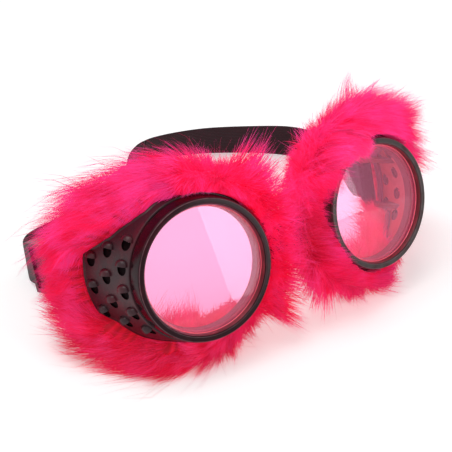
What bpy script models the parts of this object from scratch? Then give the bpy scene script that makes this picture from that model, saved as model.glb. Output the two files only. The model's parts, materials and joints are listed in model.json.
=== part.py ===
"""Party goggles: two cup eyepieces with screw rings, pink lenses and fur trims, on a nose bridge and head strap.

Every part of an eyepiece is modelled in its eye frame: the origin is the middle of the screw ring's
front, x runs across towards the wearer's left, y runs back along the lens axis and z runs up the lens.
Angles round a cup start at the top and go past the temple (90 degrees) to the bottom (180) and the nose.
"""
import math

import bmesh
import bpy
import numpy as np
from mathutils import Matrix, Vector

MM = 0.001
GAP = 0.3 * MM

# Fit on the face
EYE_HALF_SPACING = 43.4 * MM
EYE_WRAP = math.radians(5.06)
LENS_PITCH = math.radians(19.1)
EYE_HEIGHT = 43.0 * MM

# Screw ring
RING_OPENING_R = 24.0 * MM
RING_FACE_WIDTH = 3.5 * MM
RING_TAPER = 0.8 * MM
RING_DEPTH = 6.2 * MM
RING_DISH = 1.5 * MM
RING_LIP = 0.8 * MM
RING_EDGE = 0.6 * MM
RING_SHOULDER = 0.1

# Screw thread, on the collar and in the ring
THREAD_PITCH = 3.0 * MM
THREAD_HEIGHT = 0.5 * MM
THREAD_ROOT_WIDTH = 1.1 * MM
THREAD_TIP_WIDTH = 0.5 * MM
THREAD_MARGIN = 0.2 * MM
THREAD_STEPS = 40

# Lens and gasket
LENS_OVERLAP = 0.7 * MM
LENS_THICKNESS = 1.5 * MM
LENS_BEVEL = 0.3 * MM
GASKET_WIDTH = 0.9 * MM
GASKET_THICKNESS = 0.6 * MM

# Eyecup
COLLAR_WALL = 0.8 * MM
SEAT_WIDTH = 1.4 * MM
FLANGE_STEP = 0.5 * MM
FLANGE_THICKNESS = 2.1 * MM
CUP_WALL = 1.8 * MM
CUP_FLARE = 0.30
REAR_EDGE_ANGLE = (0, 30, 41, 56, 64, 72, 110, 113, 118, 138, 145, 151, 180, 230, 270, 310, 360)
REAR_EDGE_DEPTH = (11, 11, 13.7, 20, 26, 33.5, 33.5, 31, 25.5, 22, 17, 11, 11, 13, 14, 13, 11)

# Hooded vents on the temple side
VENT_DEPTHS = (10.5 * MM, 19.6 * MM, 28.5 * MM)
VENT_FIRST_COUNT = 5
VENT_PITCH = 18.0
VENT_HOOD_R = 2.5 * MM
VENT_HOOD_HEIGHT = 1.7 * MM
VENT_HOOD_ROOT = 0.6 * MM
VENT_HOOD_CLIMB = (0, 38, 72)
VENT_HOLE_R = 1.75 * MM
VENT_HOLE_REACH = (-2.6 * MM, 3.0 * MM)
VENT_DROP = 0.9 * MM
VENT_LEAN = math.radians(25)
VENT_HOOD_SIDES = 10
VENT_HOOD_TURN = 11.0
VENT_HOLE_SIDES = 9
VENT_HOLE_TURN = 17.0

# Nose bars and the elastic loop between them
NOSE_BAR_R = 1.5 * MM
NOSE_BAR_OUT = 5.2 * MM
NOSE_BAR_DEPTH = 10.5 * MM
NOSE_LUG = 2.0 * MM
NOSE_LUG_REACH = 2.5 * MM
BRIDGE_WIDTH = 12.0 * MM
BRIDGE_THICKNESS = 1.5 * MM

# Temple bars
TEMPLE_BAR_R = 1.5 * MM
TEMPLE_BAR_IN = 0.3 * MM
TEMPLE_BAR_DEPTH = 36.0 * MM
TEMPLE_BAR_HEIGHT = -1.1 * MM
TEMPLE_LUG = 2.0 * MM
TEMPLE_LUG_ROUND = 2.5 * MM
TEMPLE_LUG_ROOT = (16.0 * MM, 25.5 * MM)
TEMPLE_LUG_INSET = 3.0 * MM
TEMPLE_LUG_STEP = 0.9 * MM
LUG_SINK = 1.2 * MM
NOSE_LUG_SINK = 0.6 * MM

# Fur trim and the knitted band that it is rooted on
BACKING_THICKNESS = 1.0 * MM
BACKING_TUCK = 2.0 * MM
BACKING_REACH = 6.0 * MM
FUR_START = 1.0 * MM
FUR_BULGE = 3.0 * MM
FUR_ANGLE = (0, 25, 45, 70, 90, 110, 140, 165, 190, 215, 250, 300, 335, 360)
FUR_LENGTH = (18, 21, 24, 22, 20, 22, 22, 19, 15, 13, 14, 14, 15, 18)
FUR_THICKNESS = (13, 14, 16, 20, 21, 20, 17, 14, 12, 10, 9, 9, 11, 13)
FUR_STRAP_ROOM = 2.5 * MM
FUR_MIDDLE_GAP = 0.4 * MM
FUR_SECTION_OUT = (0.30, 0.62, 0.88, 1.00, 0.95, 0.75, 0.40, 0.10)
FUR_SECTION_BACK = (0.00, 0.00, 0.15, 0.40, 0.65, 1.00, 1.00, 0.75)
FUR_SECTION_BULGE = (0.4, 1.0, 0.2, 0, 0, 0, 0, 0)
FUR_SECTION_ROOM = (0, 0, 0, 0, 0, 0.3, 1.0, 1.0)

# Elastic head strap
STRAP_WIDTH = 18.5 * MM
STRAP_THICKNESS = 1.2 * MM
STRAP_FLARE = math.radians(8.5)
STRAP_LAP = 14.0 * MM
STRAP_DRAW_IN = (1.4 * MM, 4.6 * MM)
TEMPLE_STRAIGHT = 3.4 * MM
SLIDER_STATION = 42.0 * MM

# Free part of the strap, from the slider round the back to the other temple: across and back in
# millimetres from the middle of the rings, then how far its top edge leans across and back
STRAP_ROUTE = (
    (-77.6, 92.5, 0.03, 0.20),
    (-72.0, 99.5, 0.02, 0.06),
    (-60.0, 103.5, 0.0, 0.0),
    (-42.0, 108.0, 0.0, 0.0),
    (-24.0, 116.0, 0.0, -0.02),
    (-9.0, 127.0, 0.0, -0.08),
    (1.0, 140.0, -0.03, -0.15),
    (8.0, 147.5, -0.06, -0.24),
    (16.0, 152.8, -0.10, -0.32),
    (26.0, 155.0, -0.11, -0.35),
    (40.0, 152.5, -0.11, -0.33),
    (55.0, 146.5, -0.10, -0.28),
    (74.0, 134.5, -0.10, -0.20),
    (89.0, 122.0, -0.06, -0.10),
    (95.5, 110.0, 0.0, 0.0),
    (94.0, 95.0, 0.0, 0.05),
    (88.0, 78.0, 0.0, 0.15),
)
STRAP_LIFT = (1.0, 0, 0, 0, 0, 0, 0, 0, 0, 0, 0, 0, 0, 0, 0, 3.0, 10.0)

# Strap slider
SLIDER_LENGTH = 14.0 * MM
SLIDER_CLEARANCE = 2.5 * MM
SLIDER_RAIL = 1.8 * MM
SLIDER_BAR = 1.6 * MM
SLIDER_OUTER_BAR_WIDTH = 2.2 * MM

# Sewn thread
THREAD_WIDTH = 0.8 * MM
THREAD_RISE = 0.35 * MM
STITCH_LENGTH = 8.0 * MM
STITCH_END = 0.2 * MM
STITCH_MARGIN = 2.0 * MM

# The floor's block, which cuts the furs flat, and the sides of round pieces
FLOOR_CUT = (400 * MM, 400 * MM, 60 * MM)
AROUND = 60
NOSEWARD_LEAST = 1e-6

# Values that follow from those above
RING_FRONT_R = RING_OPENING_R + RING_FACE_WIDTH
RING_BACK_R = RING_FRONT_R + RING_TAPER
FLANGE_R = RING_BACK_R + FLANGE_STEP
NOSE_BAR_ACROSS = FLANGE_R + NOSE_BAR_OUT
TEMPLE_BAR_ACROSS = FLANGE_R - TEMPLE_BAR_IN
LENS_FRONT = RING_DISH + RING_LIP + GAP
LENS_R = RING_OPENING_R + LENS_OVERLAP
LENS_BACK = LENS_FRONT + LENS_THICKNESS
GASKET_FRONT = LENS_BACK + GAP
GASKET_BACK = GASKET_FRONT + GASKET_THICKNESS
SEAT_DEPTH = GASKET_BACK + GAP
RECESS_R = LENS_R + GAP
SEAT_R = RECESS_R - SEAT_WIDTH
COLLAR_R = RECESS_R + COLLAR_WALL
RING_BORE_R = COLLAR_R + THREAD_HEIGHT + GAP
FLANGE_FRONT = RING_DEPTH + GAP
FLANGE_BACK = FLANGE_FRONT + FLANGE_THICKNESS
THREAD_START = LENS_FRONT + THREAD_ROOT_WIDTH / 2 + THREAD_MARGIN
WALL_ACROSS = CUP_WALL * math.sqrt(1 + CUP_FLARE ** 2)
CUP_SLOPE = math.atan(CUP_FLARE)
ELASTIC_LOOP_R = TEMPLE_BAR_R + GAP + STRAP_THICKNESS / 2
SLIDER_LOOP_R = SLIDER_BAR / 2 + GAP + STRAP_THICKNESS / 2
PLY_STEP = STRAP_THICKNESS + GAP
SLIDER_MIDDLE_BAR_IN = PLY_STEP + SLIDER_LOOP_R
SLIDER_RAIL_SPAN = STRAP_WIDTH + 2 * GAP
SEWN_LENGTH = STITCH_LENGTH + 2 * STITCH_END
TEMPLE_LAP_START = ELASTIC_LOOP_R + STRAP_DRAW_IN[1]
TEMPLE_LAP_END = TEMPLE_LAP_START + SEWN_LENGTH
SLIDER_LAP_START = SLIDER_STATION - STRAP_LAP
SLIDER_LAP_END = SLIDER_LAP_START + SEWN_LENGTH

LOOKS = {
    "moulding": ((0.030, 0.016, 0.018), 0.32, 0.0),
    "ring": ((0.022, 0.010, 0.013), 0.22, 0.0),
    "lens": ((0.95, 0.42, 0.56), 0.06, 0.0),
    "rubber": ((0.02, 0.02, 0.02), 0.7, 0.0),
    "knit": ((0.45, 0.05, 0.12), 0.9, 0.0),
    "fur": ((1.0, 0.06, 0.20), 0.95, 0.0),
    "elastic": ((0.018, 0.014, 0.016), 0.85, 0.0),
    "thread": ((0.03, 0.03, 0.03), 0.8, 0.0),
}


def wall_radius(depth):
    """Outer radius of the cup's cone at a depth behind the ring's front."""
    return FLANGE_R + CUP_FLARE * (depth - FLANGE_FRONT)


def inner_radius(depth):
    """Inner radius of the cup's cone, and of the same cone carried on behind the rear edge."""
    return wall_radius(depth) - WALL_ACROSS


def by_angle(angle, angles, values):
    """A size that changes round the cup, read between the values given at some angles."""
    return np.interp(np.mod(angle, 360), angles, values) * MM


def rear_edge(angle):
    """Depth of the cup's rear edge at angles in degrees."""
    return by_angle(angle, REAR_EDGE_ANGLE, REAR_EDGE_DEPTH)


def ring_angles():
    return np.arange(AROUND) * (360.0 / AROUND)


def polar(side, radius, angle, depth):
    """Eye frame points at a radius, angle in degrees and depth, with the temple on the given side."""
    turn = np.radians(angle)
    across = side * radius * np.sin(turn)
    return np.stack(np.broadcast_arrays(across, depth, radius * np.cos(turn)), axis=-1)


def material(look):
    name = look + "_look"
    if name in bpy.data.materials:
        return bpy.data.materials[name]
    colour, roughness, metallic = LOOKS[look]
    made = bpy.data.materials.new(name)
    made.use_nodes = True
    made.diffuse_color = (*colour, 1.0)
    shader = made.node_tree.nodes["Principled BSDF"]
    shader.inputs["Base Color"].default_value = (*colour, 1.0)
    shader.inputs["Roughness"].default_value = roughness
    shader.inputs["Metallic"].default_value = metallic
    return made


def empty(name, parent=None, location=(0, 0, 0), rotation=(0, 0, 0)):
    made = bpy.data.objects.new(name, None)
    made.empty_display_size = 0.01
    made.parent = parent
    made.location = location
    made.rotation_euler = rotation
    bpy.context.scene.collection.objects.link(made)
    return made


def solid(name, points, faces, parent, look=None, location=(0, 0, 0), rotation=(0, 0, 0)):
    """A closed mesh object with its faces pointing out; without a look it is a construction shape."""
    mesh = bpy.data.meshes.new(name)
    work = bmesh.new()
    corners = [work.verts.new(point) for point in points]
    for face in faces:
        work.faces.new([corners[i] for i in face])
    bmesh.ops.recalc_face_normals(work, faces=work.faces)
    work.to_mesh(mesh)
    work.free()
    made = bpy.data.objects.new(name, mesh)
    made.parent = parent
    made.location = location
    made.rotation_euler = rotation
    bpy.context.scene.collection.objects.link(made)
    if look:
        mesh.materials.append(material(look))
        mesh.shade_smooth()
        mesh.set_sharp_from_angle(angle=math.radians(35))
    else:
        made.hide_render = True
        made.display_type = "WIRE"
    return made


def loft_faces(stations, corners, closed, first=0):
    """Quads between neighbouring stations of a loft, and end caps if it isn't closed on itself."""
    spans = stations if closed else stations - 1
    faces = []
    for i in range(spans):
        here = first + i * corners
        there = first + ((i + 1) % stations) * corners
        for j in range(corners):
            k = (j + 1) % corners
            faces.append((here + j, here + k, there + k, there + j))
    if not closed:
        faces.append(tuple(range(first, first + corners)))
        last = first + (stations - 1) * corners
        faces.append(tuple(range(last, last + corners)))
    return faces


def loft(name, sections, closed, parent, look=None, **placing):
    """One solid from an array of sections, stations x corners x 3."""
    stations, corners = sections.shape[:2]
    faces = loft_faces(stations, corners, closed)
    return solid(name, sections.reshape(-1, 3).tolist(), faces, parent, look, **placing)


def lofts(name, many, parent, look=None, **placing):
    """Several capped lofts kept as separate bodies of one object."""
    points = []
    faces = []
    for sections in many:
        stations, corners = sections.shape[:2]
        faces += loft_faces(stations, corners, False, len(points))
        points += sections.reshape(-1, 3).tolist()
    return solid(name, points, faces, parent, look, **placing)


def turned(name, profile, parent, look):
    """A closed profile of (radius, depth) points, turned about the lens axis."""
    radius, depth = np.array(profile).T
    angle = ring_angles()[:, None]
    return loft(name, polar(1, radius[None], angle, depth[None]), True, parent, look)


def box(middle, size):
    """The two end sections of a box, for lofts."""
    x, y, z = np.array(size) / 2
    square = np.array([(-x, -y), (x, -y), (x, y), (-x, y)])
    ends = [np.column_stack([square, np.full(4, end)]) for end in (-z, z)]
    return np.array(ends) + np.array(middle)


def plate(outline, low, high):
    """The two end sections of a flat plate from its outline of (x, y) points, for lofts."""
    outline = np.array(outline)
    return np.array([np.column_stack([outline, np.full(len(outline), end)]) for end in (low, high)])


def pin(x, y, low, high, radius, sides=20):
    """The two end sections of an upright pin, for lofts."""
    turn = np.arange(sides) * (2 * math.pi / sides)
    outline = np.column_stack([x + radius * np.cos(turn), y + radius * np.sin(turn)])
    return plate(outline, low, high)


def combine(target, tool, operation):
    modifier = target.modifiers.new(tool.name, "BOOLEAN")
    modifier.operation = operation
    modifier.solver = "EXACT"
    modifier.object = tool


def thread_ridge(name, parent, root, tip, depth, turns):
    """A right-hand screw ridge from a root radius to a tip radius, sunk in its wall by the gap."""
    sink = root + (GAP if root > tip else -GAP)
    turn = np.linspace(turns[0], turns[1], max(2, round(THREAD_STEPS * (turns[1] - turns[0]))))
    middle = depth + THREAD_PITCH * turn
    half = np.array([-THREAD_ROOT_WIDTH, -THREAD_TIP_WIDTH, THREAD_TIP_WIDTH, THREAD_ROOT_WIDTH]) / 2
    radius = np.array([sink, tip, tip, sink])
    sections = polar(1, radius[None], 360 * turn[:, None], middle[:, None] + half[None])
    return loft(name, sections, False, parent)


def thread_turns(start, front, back):
    """First and last turn of a ridge that stays between two depths, counted from its start depth."""
    margin = THREAD_ROOT_WIDTH / 2 + THREAD_MARGIN
    return (front + margin - start) / THREAD_PITCH, (back - margin - start) / THREAD_PITCH


def make_ring(name, eye):
    front = RING_FRONT_R
    back = RING_BACK_R
    profile = (
        (RING_OPENING_R, RING_DISH),
        (front - RING_EDGE, 0.0),
        (front - RING_EDGE / 4, RING_EDGE / 4),
        (front + RING_SHOULDER * (back - front), RING_EDGE),
        (back, RING_DEPTH - RING_EDGE / 2),
        (back - RING_EDGE / 2, RING_DEPTH),
        (RING_BORE_R, RING_DEPTH),
        (RING_BORE_R, RING_DISH + RING_LIP),
        (RING_OPENING_R, RING_DISH + RING_LIP),
    )
    ring = turned(name, profile, eye, "ring")
    start = THREAD_START + THREAD_PITCH / 2
    turns = thread_turns(start, RING_DISH + RING_LIP, RING_DEPTH)
    ridge = thread_ridge(name + "_thread", eye, RING_BORE_R, COLLAR_R + GAP, start, turns)
    combine(ring, ridge, "UNION")
    return ring


def make_lens(name, eye):
    """A flat round lens with bevelled edges."""
    depth = np.array([LENS_FRONT, LENS_FRONT + LENS_BEVEL, LENS_BACK - LENS_BEVEL, LENS_BACK])
    radius = np.array([LENS_R - LENS_BEVEL, LENS_R, LENS_R, LENS_R - LENS_BEVEL])
    sections = polar(1, radius[:, None], ring_angles()[None], depth[:, None])
    return loft(name, sections, False, eye, "lens")


def make_gasket(name, eye):
    inner = LENS_R - GASKET_WIDTH
    profile = ((inner, GASKET_FRONT), (LENS_R, GASKET_FRONT), (LENS_R, GASKET_BACK), (inner, GASKET_BACK))
    return turned(name, profile, eye, "rubber")


def cup_shell(name, side, eye):
    """Collar, flange and flared wall in one profile, whose rear edge follows the temple side."""
    angle = ring_angles()
    edge = rear_edge(angle)
    same = np.ones(AROUND)
    profile = (
        (SEAT_R * same, SEAT_DEPTH * same),
        (RECESS_R * same, SEAT_DEPTH * same),
        (RECESS_R * same, LENS_FRONT * same),
        (COLLAR_R * same, LENS_FRONT * same),
        (COLLAR_R * same, FLANGE_FRONT * same),
        ((FLANGE_R - GAP) * same, FLANGE_FRONT * same),
        (wall_radius(FLANGE_FRONT + GAP) * same, (FLANGE_FRONT + GAP) * same),
        (wall_radius(edge), edge),
        (inner_radius(edge), edge),
        (inner_radius(FLANGE_BACK) * same, FLANGE_BACK * same),
        (SEAT_R * same, FLANGE_BACK * same),
    )
    sections = np.stack([polar(side, radius, angle, depth) for radius, depth in profile], axis=1)
    return loft(name, sections, True, eye, "moulding")


def wall_point_inside(depth, height):
    """How far across the wall lies at a depth and height, sunk into its thickness."""
    return math.sqrt((inner_radius(depth) + LUG_SINK) ** 2 - height ** 2)


def temple_lug(side, low, high):
    """An arm inside the cup, from the wall to the strap bar behind it."""
    farthest = max(abs(low), abs(high))
    front, back = TEMPLE_LUG_ROOT
    turn = np.linspace(0, math.pi, 9)
    tip_x = TEMPLE_BAR_ACROSS + TEMPLE_LUG_ROUND * np.cos(turn)
    tip_y = TEMPLE_BAR_DEPTH + TEMPLE_LUG_ROUND * np.sin(turn)
    outline = [
        (wall_point_inside(front, farthest), front),
        (wall_point_inside(back, farthest), back),
        (wall_point_inside(back, farthest) - TEMPLE_LUG_INSET, back + TEMPLE_LUG_STEP),
    ]
    outline += list(zip(tip_x, tip_y))
    return plate([(side * x, y) for x, y in outline], low, high)


def nose_lug(side, low, high):
    """A plate on the nose side of the cup that carries one end of the nose bar."""
    farthest = min(abs(low), abs(high))
    front = NOSE_BAR_DEPTH - NOSE_LUG_REACH
    back = NOSE_BAR_DEPTH + NOSE_LUG_REACH
    turn = np.linspace(-math.pi / 2, math.pi / 2, 9)
    tip_x = NOSE_BAR_ACROSS + NOSE_LUG_REACH * np.cos(turn)
    tip_y = NOSE_BAR_DEPTH + NOSE_LUG_REACH * np.sin(turn)
    outline = [
        (math.sqrt((inner_radius(back) + NOSE_LUG_SINK) ** 2 - farthest ** 2), back),
        (math.sqrt((inner_radius(front) + NOSE_LUG_SINK) ** 2 - farthest ** 2), front),
    ]
    outline += list(zip(tip_x, tip_y))
    return plate([(-side * x, y) for x, y in outline], low, high)


def vent_places():
    """Depth and angle of each vent: staggered columns, each with one vent fewer than the last."""
    for column, depth in enumerate(VENT_DEPTHS):
        count = VENT_FIRST_COUNT - column
        for i in range(count):
            yield depth, 90 + VENT_PITCH * (i - (count - 1) / 2)


def vent_frame(side, depth, angle):
    """The point on the wall and its outward, downward and rearward directions at a vent."""
    turn = math.radians(angle)
    point = polar(side, wall_radius(depth), angle, depth)
    out = np.array([side * math.sin(turn) * math.cos(CUP_SLOPE), -math.sin(CUP_SLOPE),
                    math.cos(turn) * math.cos(CUP_SLOPE)])
    down = np.array([side * math.cos(turn), 0.0, -math.sin(turn)])
    return point, out, down, np.cross(out, down)


def vent_hoods(side):
    """A low dome on the wall over each vent, sunk into the wall."""
    turn = np.radians(np.arange(VENT_HOOD_SIDES) * 360 / VENT_HOOD_SIDES + VENT_HOOD_TURN)[None, :, None]
    climb = np.radians(VENT_HOOD_CLIMB)
    height = np.concatenate([[-VENT_HOOD_ROOT], VENT_HOOD_HEIGHT * np.sin(climb)])[:, None, None]
    radius = np.concatenate([[VENT_HOOD_R], VENT_HOOD_R * np.cos(climb)])[:, None, None]
    for depth, angle in vent_places():
        point, out, down, back = vent_frame(side, depth, angle)
        yield point + out * height + radius * (down * np.cos(turn) + back * np.sin(turn))


def vent_cuts(side):
    """A hole under each hood, leaning up beneath it and through the wall."""
    turn = np.radians(np.arange(VENT_HOLE_SIDES) * 360 / VENT_HOLE_SIDES + VENT_HOLE_TURN)[None, :, None]
    reach = np.array(VENT_HOLE_REACH)[:, None, None]
    for depth, angle in vent_places():
        point, out, down, back = vent_frame(side, depth, angle)
        axis = out * math.cos(VENT_LEAN) + down * math.sin(VENT_LEAN)
        across = np.cross(axis, back)
        start = point + down * VENT_DROP
        yield start + axis * reach + VENT_HOLE_R * (across * np.cos(turn) + back * np.sin(turn))


def make_eyecup(name, side, eye):
    cup = cup_shell(name, side, eye)
    turns = thread_turns(THREAD_START, LENS_FRONT, FLANGE_FRONT)
    ridge = thread_ridge(name + "_thread", eye, COLLAR_R, COLLAR_R + THREAD_HEIGHT, THREAD_START, turns)
    temple_half = STRAP_WIDTH / 2 + GAP
    low = TEMPLE_BAR_HEIGHT - temple_half
    high = TEMPLE_BAR_HEIGHT + temple_half
    nose_half = BRIDGE_WIDTH / 2 + GAP
    lugs = lofts(name + "_lugs", (
        temple_lug(side, high, high + TEMPLE_LUG),
        temple_lug(side, low - TEMPLE_LUG, low),
        nose_lug(side, nose_half, nose_half + NOSE_LUG),
        nose_lug(side, -nose_half - NOSE_LUG, -nose_half),
    ), eye)
    bars = lofts(name + "_bars", (
        pin(side * TEMPLE_BAR_ACROSS, TEMPLE_BAR_DEPTH, low - TEMPLE_LUG / 2, high + TEMPLE_LUG / 2, TEMPLE_BAR_R),
        pin(-side * NOSE_BAR_ACROSS, NOSE_BAR_DEPTH, -nose_half - NOSE_LUG / 2, nose_half + NOSE_LUG / 2, NOSE_BAR_R),
    ), eye)
    hoods = lofts(name + "_hoods", vent_hoods(side), eye)
    cuts = lofts(name + "_vents", vent_cuts(side), eye)
    combine(cup, hoods, "UNION")
    combine(cup, cuts, "DIFFERENCE")
    combine(cup, ridge, "UNION")
    combine(cup, lugs, "UNION")
    combine(cup, bars, "UNION")
    return cup


def make_backing(name, side, eye):
    """Knitted band inside the cup's rear edge, which carries the fur behind it."""
    angle = ring_angles()
    edge = rear_edge(angle)
    sections = []
    for depth in (edge - BACKING_TUCK, edge + BACKING_REACH):
        for inset in (GAP, GAP + BACKING_THICKNESS):
            sections.append(polar(side, inner_radius(depth) - inset, angle, depth))
    front_out, front_in, back_out, back_in = sections
    return loft(name, np.stack([front_out, back_out, back_in, front_in], axis=1), True, eye, "knit")


def fur_sections(side):
    """Sections of the fur's outer form: rooted behind the rear edge, leaning over it at top and bottom."""
    angle = ring_angles()
    edge = rear_edge(angle)
    root = inner_radius(edge)
    towards_nose = np.maximum(-np.sin(np.radians(angle)), NOSEWARD_LEAST)
    thickness = by_angle(angle, FUR_ANGLE, FUR_THICKNESS)
    reach_back = edge + thickness
    room = (EYE_HALF_SPACING - FUR_MIDDLE_GAP - reach_back * math.sin(EYE_WRAP)) / math.cos(EYE_WRAP)
    length = np.minimum(by_angle(angle, FUR_ANGLE, FUR_LENGTH), room / towards_nose - root)
    bulge = FUR_BULGE * np.cos(np.radians(angle)) ** 2
    temple = FUR_STRAP_ROOM * np.maximum(np.sin(np.radians(angle)), 0) ** 2
    start = edge + FUR_START
    rows = [polar(side, inner_radius(start), angle, start)]
    for out, back, lean, spare in zip(FUR_SECTION_OUT, FUR_SECTION_BACK, FUR_SECTION_BULGE, FUR_SECTION_ROOM):
        depth = start + back * (thickness - FUR_START) - lean * bulge
        rows.append(polar(side, root + out * length + spare * temple, angle, depth))
    end = edge + BACKING_REACH
    rows.append(polar(side, inner_radius(end), angle, end))
    return np.stack(rows, axis=1)


def make_fur(name, side, eye, floor):
    fur = loft(name, fur_sections(side), True, eye, "fur")
    combine(fur, floor, "DIFFERENCE")
    return fur


def nose_bar_place(side):
    """The nose bar's place in the pitched frame that both eye frames hang from."""
    across = EYE_HALF_SPACING - NOSE_BAR_ACROSS * math.cos(EYE_WRAP) - NOSE_BAR_DEPTH * math.sin(EYE_WRAP)
    back = NOSE_BAR_DEPTH * math.cos(EYE_WRAP) - NOSE_BAR_ACROSS * math.sin(EYE_WRAP)
    return side * across, back


def temple_bar_place(side):
    """The temple bar's place in the pitched frame."""
    across = EYE_HALF_SPACING + TEMPLE_BAR_ACROSS * math.cos(EYE_WRAP) - TEMPLE_BAR_DEPTH * math.sin(EYE_WRAP)
    back = TEMPLE_BAR_DEPTH * math.cos(EYE_WRAP) + TEMPLE_BAR_ACROSS * math.sin(EYE_WRAP)
    return np.array([side * across, back])


def make_bridge(name, pitched):
    """A closed elastic loop round both nose bars, a racetrack in plan."""
    across, back = nose_bar_place(1)
    radius = NOSE_BAR_R + GAP + BRIDGE_THICKNESS / 2
    turn = np.concatenate([np.linspace(-90, 90, 9), np.linspace(90, 270, 9)]) * (math.pi / 180)
    middle = np.repeat((across, -across), 9)
    inner = radius - BRIDGE_THICKNESS / 2
    outer = radius + BRIDGE_THICKNESS / 2
    half = BRIDGE_WIDTH / 2
    sections = []
    for reach, height in ((inner, -half), (outer, -half), (outer, half), (inner, half)):
        x = middle + reach * np.cos(turn)
        y = back + reach * np.sin(turn)
        sections.append(np.column_stack([x, y, np.full(len(x), height)]))
    return loft(name, np.stack(sections, axis=1), True, pitched, "elastic")


def stitched_box(high, wide):
    """Sections of a box stitch lying in the plane of y and z: one closed run of thread, for lofts."""
    sections = []
    for y, z in ((-1, -1), (1, -1), (1, 1), (-1, 1)):
        section = []
        for inset, x in ((0, -0.5), (0, 0.5), (THREAD_WIDTH, 0.5), (THREAD_WIDTH, -0.5)):
            section.append((x * THREAD_RISE, y * (wide / 2 - inset), z * (high / 2 - inset)))
        sections.append(section)
    return np.array(sections)


def make_bridge_stitching(name, pitched):
    """A box stitch on the back of the nose loop, where its ends are sewn over each other."""
    back = nose_bar_place(1)[1] + NOSE_BAR_R + GAP * 2 + BRIDGE_THICKNESS + THREAD_RISE / 2
    sections = stitched_box(BRIDGE_WIDTH - 2 * STITCH_MARGIN, STITCH_LENGTH)
    return loft(name, sections, True, pitched, "thread", location=(0, back, 0), rotation=(0, 0, math.pi / 2))


def pitched_to_world():
    """From the pitched frame to the frame that the goggles stand in."""
    return Matrix.Translation((0, 0, EYE_HEIGHT)) @ Matrix.Rotation(-LENS_PITCH, 4, "X")


def strap_point(side, along, inward):
    """A point of the strap's straight run from a temple bar, in the pitched frame.

    along is the distance from the bar's axis, and inward the distance from the outer ply's middle.
    """
    run = np.array([side * math.sin(STRAP_FLARE), math.cos(STRAP_FLARE)])
    out = np.array([side * math.cos(STRAP_FLARE), -math.sin(STRAP_FLARE)])
    x, y = temple_bar_place(side) + run * along + out * (ELASTIC_LOOP_R - inward)
    return np.array([x, y, TEMPLE_BAR_HEIGHT])


def loop_points(side, along, middle, radius, first, last, steps=8):
    """Points round a bar, from one angle to another; 90 degrees is the outer ply's side."""
    turn = np.radians(np.linspace(first, last, steps + 1))
    return [strap_point(side, along + radius * math.cos(a), middle - radius * math.sin(a)) for a in turn]


def near_run():
    """The right end: sewn round the slider's middle bar, forward to the temple bar and back out."""
    station = SLIDER_STATION
    inner = SLIDER_MIDDLE_BAR_IN + SLIDER_LOOP_R
    points = [strap_point(-1, SLIDER_LAP_START, inner - PLY_STEP)]
    points.append(strap_point(-1, SLIDER_LAP_END, inner - PLY_STEP))
    points += loop_points(-1, station, SLIDER_MIDDLE_BAR_IN, SLIDER_LOOP_R, 90, -90)
    points.append(strap_point(-1, station / 2, inner))
    points += loop_points(-1, 0, ELASTIC_LOOP_R, ELASTIC_LOOP_R, 270, 90)
    points.append(strap_point(-1, station / 2, 0))
    points.append(strap_point(-1, station, 0))
    for past in (GAP, SLIDER_CLEARANCE):
        points.append(strap_point(-1, station + SLIDER_LENGTH / 2 + past, 0))
    return points


def far_run():
    """The left end: round the temple bar, and sewn back on to itself."""
    points = [strap_point(1, TEMPLE_LAP_END + TEMPLE_STRAIGHT, 0)]
    points.append(strap_point(1, STRAP_LAP / 2, 0))
    points += loop_points(1, 0, ELASTIC_LOOP_R, ELASTIC_LOOP_R, 90, 270)
    points.append(strap_point(1, ELASTIC_LOOP_R + STRAP_DRAW_IN[0], (4 * ELASTIC_LOOP_R + PLY_STEP) / 3))
    points.append(strap_point(1, TEMPLE_LAP_START, PLY_STEP))
    points.append(strap_point(1, TEMPLE_LAP_END, PLY_STEP))
    return points


def smooth_route(rows, steps=4):
    """A Catmull-Rom curve through rows of numbers, between the second row and the last but one."""
    rows = np.array(rows)
    share = np.arange(steps)[:, None] / steps
    out = []
    for a, b, c, d in zip(rows, rows[1:], rows[2:], rows[3:]):
        out.append(0.5 * (2 * b + (c - a) * share + (2 * a - 5 * b + 4 * c - d) * share ** 2
                          + (3 * b - a - 3 * c + d) * share ** 3))
    return np.concatenate(out)


def strap_middle():
    """The strap's middle line and the direction of its width at each point, in the standing frame."""
    stand = pitched_to_world()
    width = np.array((stand.to_3x3() @ Vector((0, 0, 1))))
    lean = width / width[2]
    ends = []
    for run in (near_run(), far_run()):
        places = np.array([stand @ Vector(point) for point in run])
        ends.append(np.column_stack([places, np.tile(lean[:2], (len(places), 1))]))
    near, far = ends
    free = []
    for (x, y, lean_x, lean_y), lift in zip(STRAP_ROUTE, STRAP_LIFT):
        upright = 1 / math.sqrt(1 + lean_x ** 2 + lean_y ** 2)
        free.append((x * MM, y * MM, STRAP_WIDTH / 2 * upright + lift * MM, lean_x, lean_y))
    middle = smooth_route([near[-2], near[-1], *free, far[0], far[1]])
    rows = np.concatenate([near[:-1], middle, far])
    width = np.column_stack([rows[:, 3:], np.ones(len(rows))])
    width /= np.linalg.norm(width, axis=1)[:, None]
    return rows[:, :3], width


def make_strap(name, root):
    points, width = strap_middle()
    along = np.gradient(points, axis=0)
    along /= np.linalg.norm(along, axis=1)[:, None]
    face = np.cross(along, width)
    face /= np.linalg.norm(face, axis=1)[:, None]
    half_width = width * (STRAP_WIDTH / 2)
    half_thick = face * (STRAP_THICKNESS / 2)
    corners = (half_width + half_thick, half_width - half_thick, -half_width - half_thick, half_thick - half_width)
    sections = np.stack([points + corner for corner in corners], axis=1)
    sunk = np.minimum(sections[:, :, 2].min(axis=1), 0)
    sections[:, :, 2] -= sunk[:, None]
    return loft(name, sections, False, root, "elastic")


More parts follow.
